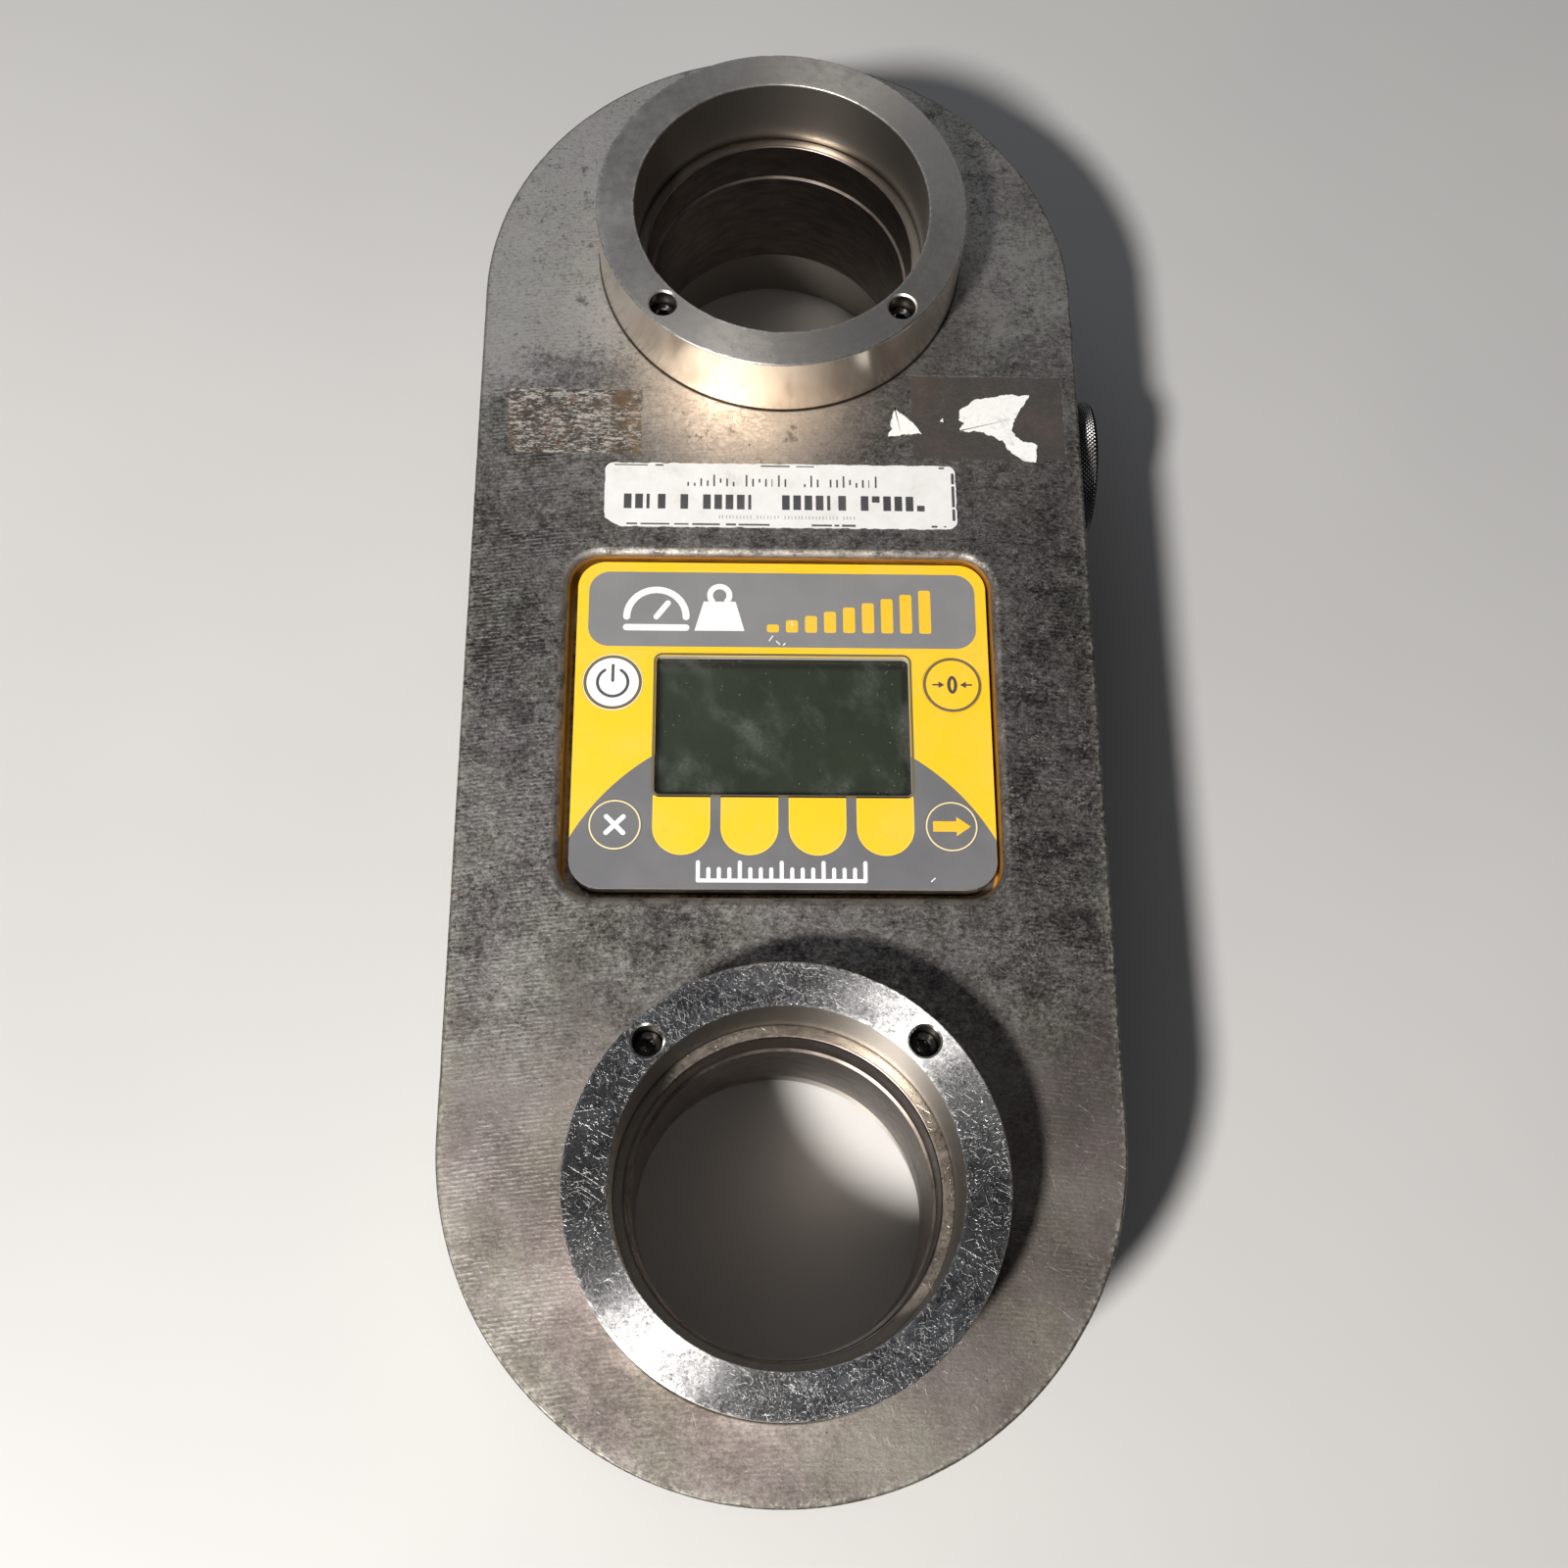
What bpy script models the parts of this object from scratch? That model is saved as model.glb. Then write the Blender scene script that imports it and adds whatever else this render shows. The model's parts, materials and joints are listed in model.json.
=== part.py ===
"""Link-type crane scale: a steel link with a pin hole at each end, spacer rings round the holes,
a keypad panel in a pocket of the front face, and a battery tube drilled in from one side.

Metres, +Z up. The scale lies on its rear rings at z = 0 and its long axis is Y. Everything hangs
from one empty, moved along X so that the origin is under the middle of the whole object, with
its side cap. Heights are given from the link's front face, down being negative.
"""

import math

import bmesh
import bpy
from mathutils import Matrix

MM = 0.001
GAP = 0.3 * MM  # clearance between pieces that touch
FILM_GAP = 0.1 * MM  # clearance between bonded films

# Link
LINK_WIDTH = 160 * MM
LINK_THICK = 50 * MM
END_CENTRES = 228.6 * MM  # between the centres of the two round ends
PIN_CENTRES = 254.6 * MM  # between the axes of the two pin holes
LINK_CHAMFER = 0.9 * MM
PIN_BORE_R = 36.2 * MM
PIN_LAND_R = 35.5 * MM  # the bearing land half way through
PIN_LAND_LENGTH = 25.2 * MM
PIN_CHAMFER = 0.6 * MM

# Spacer rings and their screws
RING_STACK = 21.8 * MM  # from the link's face to the ring's face
RING_OUTER_R = 49.25 * MM
RING_INNER_R = 39.1 * MM
RING_EDGE = 0.45 * MM
RING_SCREW_PCR = 43.9 * MM
RING_SCREW_ANGLES = (-45, -135)  # both on the side towards the panel
COUNTERBORE_R = 3.5 * MM
COUNTERBORE_DEPTH = 9.6 * MM
RING_SCREW_HEAD_R = 3.2 * MM
RING_SCREW_HEAD = 4.2 * MM
RING_SCREW_R = 2.0 * MM
RING_SCREW_REACH = 10 * MM  # into the link
RING_SCREW_SOCKET = 3 * MM
HOLE_SPARE = 1.5 * MM  # how far a screw's hole runs past its tip

# Panel pocket
POCKET_X = -0.2 * MM
POCKET_Y = -10.8 * MM
POCKET_WIDTH = 108.2 * MM
POCKET_HEIGHT = 91.2 * MM
POCKET_CORNER = 8.4 * MM
POCKET_RIM = 2.6 * MM  # radius of the rounded rim
LEDGE_DEPTH = 9.7 * MM
CAVITY_WIDTH = 90 * MM
CAVITY_HEIGHT = 73 * MM
CAVITY_CORNER = 6 * MM
CAVITY_DEPTH = 26 * MM

# Keypad panel, in layers from the front
PANEL_X = 0.4 * MM
PANEL_Y = -9.9 * MM
OVERLAY_WIDTH = 105.3 * MM
OVERLAY_HEIGHT = 87.8 * MM
OVERLAY_CORNER = 7.2 * MM
OVERLAY_DEPTH = 2.5 * MM
OVERLAY_THICK = 0.5 * MM
SPACER_THICK = 1.0 * MM
CIRCUIT_THICK = 0.4 * MM
PLATE_THICK = 3.0 * MM
GASKET_THICK = 1.2 * MM
LAYER_INSET = 0.3 * MM  # hidden layers stop this far inside the overlay

# Display
DISPLAY_WIDTH = 64.2 * MM
DISPLAY_HEIGHT = 37.4 * MM
DISPLAY_Y = -1.1 * MM  # from the panel's centre
DISPLAY_CORNER = 1.5 * MM
WINDOW_DEPTH = 0.4 * MM  # below the overlay's surface
WINDOW_THICK = 1.7 * MM
GLASS_WIDTH = 67 * MM
GLASS_HEIGHT = 40 * MM
GLASS_THICK = 2.8 * MM
CARRIER_THICK = 5 * MM
CARRIER_MARGIN = 3.5 * MM  # round the glass

# Keys: centres from the panel's centre
ROUND_KEYS = {
    "power_key": (-43.1 * MM, 10.15 * MM, 7.4 * MM),
    "zero_key": (43.1 * MM, 10.15 * MM, 7.4 * MM),
    "escape_key": (-41.6 * MM, -27.8 * MM, 6.4 * MM),
    "next_key": (41.6 * MM, -27.8 * MM, 6.4 * MM),
}
SOFT_KEYS = 4
SOFT_KEY_PITCH = 16.83 * MM
SOFT_KEY_WIDTH = 13.9 * MM
SOFT_KEY_HEIGHT = 15.0 * MM
SOFT_KEY_Y = -27.8 * MM
DOME_R = 4.0 * MM
DOME_RISE = 0.35 * MM

# Electronics behind the panel
BOARD_WIDTH = 86 * MM
BOARD_HEIGHT = 69 * MM
BOARD_THICK = 1.6 * MM
STANDOFF_X = 38 * MM
STANDOFF_Y = 30.5 * MM
STANDOFF_R = 3 * MM
STANDOFF_HEIGHT = 6.3 * MM
PANEL_SCREW_X = 48 * MM
PANEL_SCREW_Y = 39.4 * MM
M3_R = 1.45 * MM
M3_HOLE_R = 1.75 * MM
M3_HEAD_R = 2.75 * MM
M3_SOCKET = 2 * MM
PANEL_SCREW_LENGTH = 11 * MM
PANEL_HOLE_DEPTH = 7 * MM  # below the ledge
BOARD_SCREW_LENGTH = 5 * MM
GAUGE_SIZE = (6 * MM, 10 * MM, 0.3 * MM)
GAUGE_X = 15 * MM
GAUGE_Y = 12 * MM

# Battery tube, along X
TUBE_Y = 75 * MM
TUBE_R = 14.0 * MM
TUBE_END = -30 * MM
CELL_R = 13.05 * MM
CELL_LENGTH = 49.7 * MM
CELL_TIP_R = 2.7 * MM
CELL_TIP_LENGTH = 1.5 * MM
CONTACT_R = 11 * MM
CONTACT_THICK = 2 * MM
LINER_R = 13.7 * MM
LINER_WALL = 0.35 * MM
NECK_R = 15.0 * MM
NECK_LENGTH = 12 * MM
NECK_BORE_R = 13.4 * MM
CAP_R = 19 * MM
CAP_PROUD = 6.3 * MM  # past the link's side face
CAP_BORE_DEPTH = 2.2 * MM  # how far the hollow reaches into the head
SEAL_SEAT_R = 18.3 * MM
SEAL_SEAT_DEPTH = 2.8 * MM
SEAL_R = 1.2 * MM
SEAL_CENTRE_R = 16.8 * MM
SPRING_R = 8 * MM
SPRING_WIRE_R = 0.6 * MM
SPRING_TURNS = 4
LEAD_R = 1.2 * MM
LEAD_HOLE_R = 2.5 * MM
LEAD_X = -22 * MM
LEAD_DEPTH = 18 * MM

# Label
LABEL_WIDTH = 92.4 * MM
LABEL_HEIGHT = 18.9 * MM
LABEL_CORNER = 2.5 * MM
LABEL_THICK = 0.25 * MM
LABEL_Y = 52.4 * MM

# Places worked out from the above
BACK = RING_STACK
FRONT = BACK + LINK_THICK
MID = BACK + LINK_THICK / 2
SIDE = LINK_WIDTH / 2
OVERLAY_TOP = FRONT - OVERLAY_DEPTH
SPACER_TOP = OVERLAY_TOP - OVERLAY_THICK - FILM_GAP
CIRCUIT_TOP = SPACER_TOP - SPACER_THICK - FILM_GAP
PLATE_TOP = CIRCUIT_TOP - CIRCUIT_THICK - GAP
GASKET_TOP = PLATE_TOP - PLATE_THICK - GAP
BOARD_TOP = GASKET_TOP - STANDOFF_HEIGHT - GAP
CAVITY_FLOOR = FRONT - CAVITY_DEPTH
CELL_START = TUBE_END + 2.8 * MM

ROUND_STEPS = 64  # sides of the large circles
SCREW_SIDES = 12  # sides of screws and of the holes for them
TUBE_STEPS = 32  # sides of the round pieces along the battery tube
KEY_STEPS = 28  # sides of the round keys
CUT_PAST = 1 * MM  # how far a cutter runs past the face it opens

FINISHES = {  # colour, roughness, metallic
    "link_steel": ((0.24, 0.22, 0.20), 0.45, 1.0),
    "ring_steel": ((0.42, 0.41, 0.40), 0.32, 1.0),
    "screw_steel": ((0.10, 0.10, 0.10), 0.4, 1.0),
    "cap_steel": ((0.45, 0.45, 0.46), 0.3, 1.0),
    "yellow_film": ((1.0, 0.62, 0.03), 0.45, 0.0),
    "white_film": ((0.85, 0.85, 0.85), 0.4, 0.0),
    "grey_film": ((0.20, 0.20, 0.21), 0.45, 0.0),
    "clear_plastic": ((0.8, 0.85, 0.8), 0.1, 0.0),
    "display_glass": ((0.025, 0.035, 0.02), 0.2, 0.0),
    "black_plastic": ((0.03, 0.03, 0.03), 0.5, 0.0),
    "aluminium": ((0.6, 0.6, 0.6), 0.4, 1.0),
    "board_green": ((0.02, 0.16, 0.06), 0.5, 0.0),
    "brass": ((0.6, 0.42, 0.15), 0.35, 1.0),
    "rubber": ((0.02, 0.02, 0.02), 0.8, 0.0),
    "cell_sleeve": ((0.08, 0.08, 0.09), 0.35, 0.2),
}


# ---- outlines: lists of (x, y), counter-clockwise -------------------------------------------


def arc(centre_x, centre_y, radius, start, end, steps):
    """Points on an arc from start to end, in degrees, both ends included."""
    angles = [math.radians(start + (end - start) * i / steps) for i in range(steps + 1)]
    return [(centre_x + radius * math.cos(a), centre_y + radius * math.sin(a)) for a in angles]


def circle(radius, steps):
    return arc(0, 0, radius, 0, 360, steps)[:-1]


def rounded_rect(width, height, corner, steps=5):
    x, y = width / 2 - corner, height / 2 - corner
    outline = []
    for quarter, (sx, sy) in enumerate(((1, 1), (-1, 1), (-1, -1), (1, -1))):
        outline += arc(sx * x, sy * y, corner, 90 * quarter, 90 * quarter + 90, steps)
    return outline


def stadium(radius, centres, steps=40):
    upper = arc(0, centres / 2, radius, 0, 180, steps)
    return upper + arc(0, -centres / 2, radius, 180, 360, steps)


def soft_key_outline(grow=0.0):
    """Straight sides and a half-round bottom; grow widens it all round."""
    half = SOFT_KEY_WIDTH / 2 + grow
    top = SOFT_KEY_HEIGHT / 2 + grow
    round_centre = SOFT_KEY_WIDTH / 2 - SOFT_KEY_HEIGHT / 2
    return [(half, top), (-half, top)] + arc(0, round_centre, half, 180, 360, 10)


def hexagon(across_flats, points_per_side):
    """A hexagon whose sides are divided, so that it can be skinned to a circle."""
    corner_r = across_flats / math.sqrt(3)
    corners = circle(corner_r, 6)
    outline = []
    for i, (x0, y0) in enumerate(corners):
        x1, y1 = corners[(i + 1) % 6]
        for k in range(points_per_side):
            share = k / points_per_side
            outline.append((x0 + (x1 - x0) * share, y0 + (y1 - y0) * share))
    return outline


def at_height(outline, z):
    return [(x, y, z) for x, y in outline]


# ---- meshes ------------------------------------------------------------------------------------


def loft(sections):
    """A closed skin through sections of equal point counts, the first and the last filled."""
    bm = bmesh.new()
    rings = [[bm.verts.new(point) for point in section] for section in sections]
    for low, high in zip(rings, rings[1:]):
        for i in range(len(low)):
            j = (i + 1) % len(low)
            bm.faces.new((low[i], low[j], high[j], high[i]))
    bm.faces.new(rings[0])
    bm.faces.new(rings[-1])
    bmesh.ops.recalc_face_normals(bm, faces=bm.faces)
    return bm


def prism(outline, bottom, top):
    return loft([at_height(outline, bottom), at_height(outline, top)])


def turned(profile, steps):
    """A solid of revolution about Z from (radius, z) points. It starts and ends on the axis,
    or, when it doesn't touch the axis, it is a closed outline."""
    bm = bmesh.new()
    on_axis = profile[0][0] == 0
    columns = []
    for radius, z in profile:
        if radius == 0:
            columns.append([bm.verts.new((0, 0, z))] * steps)
        else:
            columns.append([bm.verts.new((x, y, z)) for x, y in circle(radius, steps)])
    following = columns[1:] if on_axis else columns[1:] + columns[:1]
    for near, far in zip(columns, following):
        for i in range(steps):
            j = (i + 1) % steps
            corners = (near[i], near[j], far[j], far[i])
            bm.faces.new(list(dict.fromkeys(corners)))
    bmesh.ops.recalc_face_normals(bm, faces=bm.faces)
    return bm


def disc_profile(radius, bottom, top):
    return [(0, bottom), (radius, bottom), (radius, top), (0, top)]


def to_x_axis(bm):
    """Turns a shape made about Z so that its axis is X, its top towards +X."""
    bmesh.ops.rotate(bm, verts=bm.verts, matrix=Matrix.Rotation(math.radians(90), 3, "Y"))
    return bm


# ---- objects -----------------------------------------------------------------------------------


def clear_scene():
    for obj in list(bpy.data.objects):
        bpy.data.objects.remove(obj, do_unlink=True)


def give_finish(obj, finish):
    colour, roughness, metallic = FINISHES[finish]
    material = bpy.data.materials.new(obj.name)
    material.use_nodes = True
    shader = material.node_tree.nodes["Principled BSDF"]
    shader.inputs["Base Color"].default_value = (*colour, 1)
    shader.inputs["Roughness"].default_value = roughness
    shader.inputs["Metallic"].default_value = metallic
    obj.data.materials.append(material)


def place(obj, location):
    bpy.context.scene.collection.objects.link(obj)
    obj.parent = FRAME
    obj.location = location


def solid(name, bm, finish, location=(0, 0, 0)):
    """A named piece from a bmesh, smooth on its round faces."""
    mesh = bpy.data.meshes.new(name)
    bm.to_mesh(mesh)
    bm.free()
    mesh.shade_smooth()
    mesh.set_sharp_from_angle(angle=math.radians(35))
    obj = bpy.data.objects.new(name, mesh)
    place(obj, location)
    give_finish(obj, finish)
    return obj


def combine(obj, purpose, operation, shapes):
    """One Boolean between the object and each (bmesh, location), kept as hidden shapes."""
    name = f"{obj.name}_{purpose}"
    group = bpy.data.collections.new(name)
    bpy.context.scene.collection.children.link(group)
    for bm, location in shapes:
        mesh = bpy.data.meshes.new(name)
        bm.to_mesh(mesh)
        bm.free()
        shape = bpy.data.objects.new(name, mesh)
        group.objects.link(shape)
        shape.parent = FRAME
        shape.location = location
        shape.hide_render = True
        shape.display_type = "WIRE"
    boolean = obj.modifiers.new(purpose, "BOOLEAN")
    boolean.operation = operation
    boolean.operand_type = "COLLECTION"
    boolean.collection = group
    boolean.solver = "EXACT"


def cut(obj, cutters):
    combine(obj, "openings", "DIFFERENCE", cutters)


def wire(name, points, radius, finish):
    """A round wire or lead through the given points."""
    curve = bpy.data.curves.new(name, "CURVE")
    curve.dimensions = "3D"
    spline = curve.splines.new("POLY")
    spline.points.add(len(points) - 1)
    for target, point in zip(spline.points, points):
        target.co = (*point, 1)
    curve.bevel_depth = radius
    curve.bevel_resolution = 1
    curve.use_fill_caps = True
    obj = bpy.data.objects.new(name, curve)
    place(obj, (0, 0, 0))
    give_finish(obj, finish)
    return obj


# ---- link --------------------------------------------------------------------------------------


def pin_bore_cutter():
    """The stepped pin hole: chamfered mouths, and a narrower land half way."""
    step = 0.4 * MM
    land = PIN_LAND_LENGTH / 2
    mouth = PIN_BORE_R + PIN_CHAMFER
    return turned(
        [
            (0, BACK - CUT_PAST),
            (mouth, BACK - CUT_PAST),
            (mouth, BACK),
            (PIN_BORE_R, BACK + PIN_CHAMFER),
            (PIN_BORE_R, MID - land),
            (PIN_LAND_R, MID - land + step),
            (PIN_LAND_R, MID + land - step),
            (PIN_BORE_R, MID + land),
            (PIN_BORE_R, FRONT - PIN_CHAMFER),
            (mouth, FRONT),
            (mouth, FRONT + CUT_PAST),
            (0, FRONT + CUT_PAST),
        ],
        ROUND_STEPS,
    )


def pocket_cutter():
    """The panel pocket down to its ledge, with a rounded rim."""

    def section(offset, z):
        width, height = POCKET_WIDTH + 2 * offset, POCKET_HEIGHT + 2 * offset
        return at_height(rounded_rect(width, height, POCKET_CORNER + offset), z)

    sections = [section(0, FRONT - LEDGE_DEPTH)]
    rim_steps = 3
    for i in range(rim_steps + 1):
        angle = math.radians(90 * i / rim_steps)
        rise = POCKET_RIM * math.sin(angle)
        sections.append(section(POCKET_RIM * (1 - math.cos(angle)), FRONT - POCKET_RIM + rise))
    sections.append(section(POCKET_RIM, FRONT + CUT_PAST))
    return loft(sections)


def cavity_cutter():
    outline = rounded_rect(CAVITY_WIDTH, CAVITY_HEIGHT, CAVITY_CORNER)
    return prism(outline, CAVITY_FLOOR, FRONT - LEDGE_DEPTH + CUT_PAST)


def battery_bore_cutter():
    """Tube, thread and seal seat, stepped outwards to the link's side face."""
    thread_start = SIDE - NECK_LENGTH - 2 * GAP
    seat_start = SIDE - SEAL_SEAT_DEPTH
    return to_x_axis(
        turned(
            [
                (0, TUBE_END),
                (TUBE_R, TUBE_END),
                (TUBE_R, thread_start),
                (NECK_R + GAP, thread_start),
                (NECK_R + GAP, seat_start),
                (SEAL_SEAT_R, seat_start),
                (SEAL_SEAT_R, SIDE + CUT_PAST),
                (0, SIDE + CUT_PAST),
            ],
            TUBE_STEPS,
        )
    )


def lead_hole_cutter():
    """A drilled way for the battery lead, from the tube's inner end to the panel's cavity."""
    bm = turned(disc_profile(LEAD_HOLE_R, 0, TUBE_Y - POCKET_Y - CAVITY_HEIGHT / 2), SCREW_SIDES)
    bmesh.ops.rotate(bm, verts=bm.verts, matrix=Matrix.Rotation(math.radians(90), 3, "X"))
    return bm


def ring_screw_places():
    """(end, number, x, y) of each ring screw; end is 1 for the upper hole and -1 for the lower."""
    places = []
    for end in (1, -1):
        for number, degrees in enumerate(RING_SCREW_ANGLES, start=1):
            angle = math.radians(degrees)
            x = RING_SCREW_PCR * math.cos(angle)
            y = end * (PIN_CENTRES / 2 + RING_SCREW_PCR * math.sin(angle))
            places.append((end, number, x, y))
    return places


def panel_screw_places():
    signs = ((1, 1), (-1, 1), (-1, -1), (1, -1))
    return [(PANEL_X + sx * PANEL_SCREW_X, PANEL_Y + sy * PANEL_SCREW_Y) for sx, sy in signs]


def make_link_body():
    def section(inset, z):
        return at_height(stadium(SIDE - inset, END_CENTRES), z)

    bm = loft(
        [
            section(LINK_CHAMFER, BACK),
            section(0, BACK + LINK_CHAMFER),
            section(0, FRONT - LINK_CHAMFER),
            section(LINK_CHAMFER, FRONT),
        ]
    )
    body = solid("link_body", bm, "link_steel")
    cutters = [
        (pin_bore_cutter(), (0, PIN_CENTRES / 2, 0)),
        (pin_bore_cutter(), (0, -PIN_CENTRES / 2, 0)),
        (pocket_cutter(), (POCKET_X, POCKET_Y, 0)),
        (cavity_cutter(), (POCKET_X, POCKET_Y, 0)),
        (battery_bore_cutter(), (0, TUBE_Y, MID)),
        (lead_hole_cutter(), (LEAD_X, TUBE_Y, FRONT - LEAD_DEPTH)),
    ]
    hole_r = RING_SCREW_R + GAP
    hole_depth = RING_SCREW_REACH + HOLE_SPARE
    for _, _, x, y in ring_screw_places():
        front_hole = disc_profile(hole_r, FRONT - hole_depth, FRONT + CUT_PAST)
        back_hole = disc_profile(hole_r, BACK - CUT_PAST, BACK + hole_depth)
        cutters.append((turned(front_hole, SCREW_SIDES), (x, y, 0)))
        cutters.append((turned(back_hole, SCREW_SIDES), (x, y, 0)))
    ledge = FRONT - LEDGE_DEPTH
    for x, y in panel_screw_places():
        hole = disc_profile(M3_HOLE_R, ledge - PANEL_HOLE_DEPTH, ledge + CUT_PAST)
        cutters.append((turned(hole, SCREW_SIDES), (x, y, 0)))
    cut(body, cutters)


# ---- spacer rings ------------------------------------------------------------------------------


def make_ring(name, end, front):
    """One spacer ring, lying on the link's front or back face round a pin hole."""
    foot = FRONT + GAP if front else BACK - GAP
    face = FRONT + RING_STACK if front else 0.0
    inwards = -1 if front else 1
    edge = inwards * RING_EDGE
    bm = turned(
        [
            (RING_INNER_R, foot),
            (RING_OUTER_R - RING_EDGE, foot),
            (RING_OUTER_R, foot - edge),
            (RING_OUTER_R, face + edge),
            (RING_OUTER_R - RING_EDGE, face),
            (RING_INNER_R + RING_EDGE, face),
            (RING_INNER_R, face + edge),
        ],
        ROUND_STEPS,
    )
    centre_y = end * PIN_CENTRES / 2
    ring = solid(name, bm, "ring_steel", (0, centre_y, 0))
    shoulder = face + inwards * COUNTERBORE_DEPTH
    outside = face - inwards * CUT_PAST
    below = foot + inwards * CUT_PAST
    cutters = []
    for screw_end, _, x, y in ring_screw_places():
        if screw_end != end:
            continue
        head_hole = disc_profile(COUNTERBORE_R, min(shoulder, outside), max(shoulder, outside))
        shank_hole = disc_profile(RING_SCREW_R + GAP, min(face, below), max(face, below))
        cutters.append((turned(head_hole, 16), (x, y, 0)))
        cutters.append((turned(shank_hole, SCREW_SIDES), (x, y, 0)))
    cut(ring, cutters)


def socket_screw(head_r, head_height, shank_r, shank_length, socket):
    """A cap screw about Z with its head on z = 0 and its shank below; the socket is a hexagon."""
    edge = 0.3 * MM
    top = head_height
    sides = SCREW_SIDES
    socket_outline = hexagon(socket, sides // 6)
    return loft(
        [
            at_height(circle(shank_r, sides), -shank_length),
            at_height(circle(shank_r, sides), 0),
            at_height(circle(head_r, sides), 0),
            at_height(circle(head_r, sides), top - edge),
            at_height(circle(head_r - edge, sides), top),
            at_height(socket_outline, top),
            at_height(socket_outline, top - head_height * 0.55),
        ]
    )


def make_ring_screws():
    shank = RING_STACK - COUNTERBORE_DEPTH + GAP + RING_SCREW_REACH
    seat = RING_STACK - COUNTERBORE_DEPTH + GAP  # height of the head's underside over the link
    for front in (True, False):
        face_name = "front" if front else "rear"
        for end, number, x, y in ring_screw_places():
            end_name = "upper" if end > 0 else "lower"
            bm = socket_screw(RING_SCREW_HEAD_R, RING_SCREW_HEAD, RING_SCREW_R, shank, RING_SCREW_SOCKET)
            if not front:
                bmesh.ops.rotate(bm, verts=bm.verts, matrix=Matrix.Rotation(math.pi, 3, "X"))
            z = FRONT + seat if front else BACK - seat
            name = f"{face_name}_{end_name}_ring_screw_{number}"
            solid(name, bm, "screw_steel", (x, y, z))


def make_rings():
    for front in (True, False):
        for end in (1, -1):
            face_name = "front" if front else "rear"
            end_name = "upper" if end > 0 else "lower"
            make_ring(f"{face_name}_{end_name}_ring", end, front)
    make_ring_screws()


# ---- keypad panel ------------------------------------------------------------------------------


def soft_key_places():
    """Centres of the four soft keys, left to right, from the panel's centre."""
    first = -(SOFT_KEYS - 1) / 2
    return [((first + i) * SOFT_KEY_PITCH, SOFT_KEY_Y) for i in range(SOFT_KEYS)]


def on_panel(x, y, z=0.0):
    return (PANEL_X + x, PANEL_Y + y, z)


def panel_outline(inset):
    width, height = OVERLAY_WIDTH - 2 * inset, OVERLAY_HEIGHT - 2 * inset
    return rounded_rect(width, height, OVERLAY_CORNER - inset)


def display_hole(grow_width, grow_height, bottom, top):
    outline = rounded_rect(DISPLAY_WIDTH + grow_width, DISPLAY_HEIGHT + grow_height, DISPLAY_CORNER)
    return (prism(outline, bottom, top), on_panel(0, DISPLAY_Y))


def key_holes(bottom, top):
    holes = []
    for x, y, radius in ROUND_KEYS.values():
        holes.append((prism(circle(radius + GAP, KEY_STEPS), bottom, top), on_panel(x, y)))
    for x, y in soft_key_places():
        holes.append((prism(soft_key_outline(GAP), bottom, top), on_panel(x, y)))
    return holes


def make_key_layer(name, inset, top, thickness, finish):
    """A film with an opening for the display and for each key."""
    bottom = top - thickness
    layer = solid(name, prism(panel_outline(inset), bottom, top), finish, on_panel(0, 0))
    ends = (bottom - CUT_PAST, top + CUT_PAST)
    cut(layer, [display_hole(0, 0, *ends)] + key_holes(*ends))


def make_keys():
    """Key caps flush with the overlay; each one's origin is on its own press axis."""
    for name, (x, y, radius) in ROUND_KEYS.items():
        bm = prism(circle(radius, KEY_STEPS), -OVERLAY_THICK, 0)
        finish = {"power_key": "white_film", "zero_key": "yellow_film"}.get(name, "grey_film")
        solid(name, bm, finish, on_panel(x, y, OVERLAY_TOP))
    for number, (x, y) in enumerate(soft_key_places(), start=1):
        bm = prism(soft_key_outline(), -OVERLAY_THICK, 0)
        solid(f"soft_key_{number}", bm, "yellow_film", on_panel(x, y, OVERLAY_TOP))


def make_keypad_circuit():
    """The membrane circuit: a film with a snap dome under each key."""
    bottom = CIRCUIT_TOP - CIRCUIT_THICK
    film = prism(panel_outline(LAYER_INSET), bottom, CIRCUIT_TOP)
    circuit = solid("keypad_circuit", film, "clear_plastic", on_panel(0, 0))
    cut(circuit, [display_hole(0, 0, bottom - CUT_PAST, CIRCUIT_TOP + CUT_PAST)])
    sunk = CIRCUIT_TOP - CIRCUIT_THICK / 2
    crown = CIRCUIT_TOP + DOME_RISE
    dome = [(0, sunk), (DOME_R, sunk), (DOME_R * 0.6, crown), (0, crown)]
    places = [(x, y) for x, y, _ in ROUND_KEYS.values()] + soft_key_places()
    domes = [(turned(dome, SCREW_SIDES), on_panel(x, y)) for x, y in places]
    combine(circuit, "domes", "UNION", domes)


def make_display():
    window = rounded_rect(DISPLAY_WIDTH - 2 * FILM_GAP, DISPLAY_HEIGHT - 2 * FILM_GAP, DISPLAY_CORNER)
    window_top = OVERLAY_TOP - WINDOW_DEPTH
    bm = prism(window, window_top - WINDOW_THICK, window_top)
    solid("display_window", bm, "clear_plastic", on_panel(0, DISPLAY_Y))

    glass = rounded_rect(GLASS_WIDTH, GLASS_HEIGHT, 0.5 * MM, 1)
    bm = prism(glass, PLATE_TOP - GLASS_THICK, PLATE_TOP)
    solid("display_glass", bm, "display_glass", on_panel(0, DISPLAY_Y))

    margin = 2 * CARRIER_MARGIN
    carrier = rounded_rect(GLASS_WIDTH + margin, GLASS_HEIGHT + margin, 2 * MM, 2)
    bm = prism(carrier, GASKET_TOP - CARRIER_THICK, GASKET_TOP)
    solid("display_carrier", bm, "black_plastic", on_panel(0, DISPLAY_Y))


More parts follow.
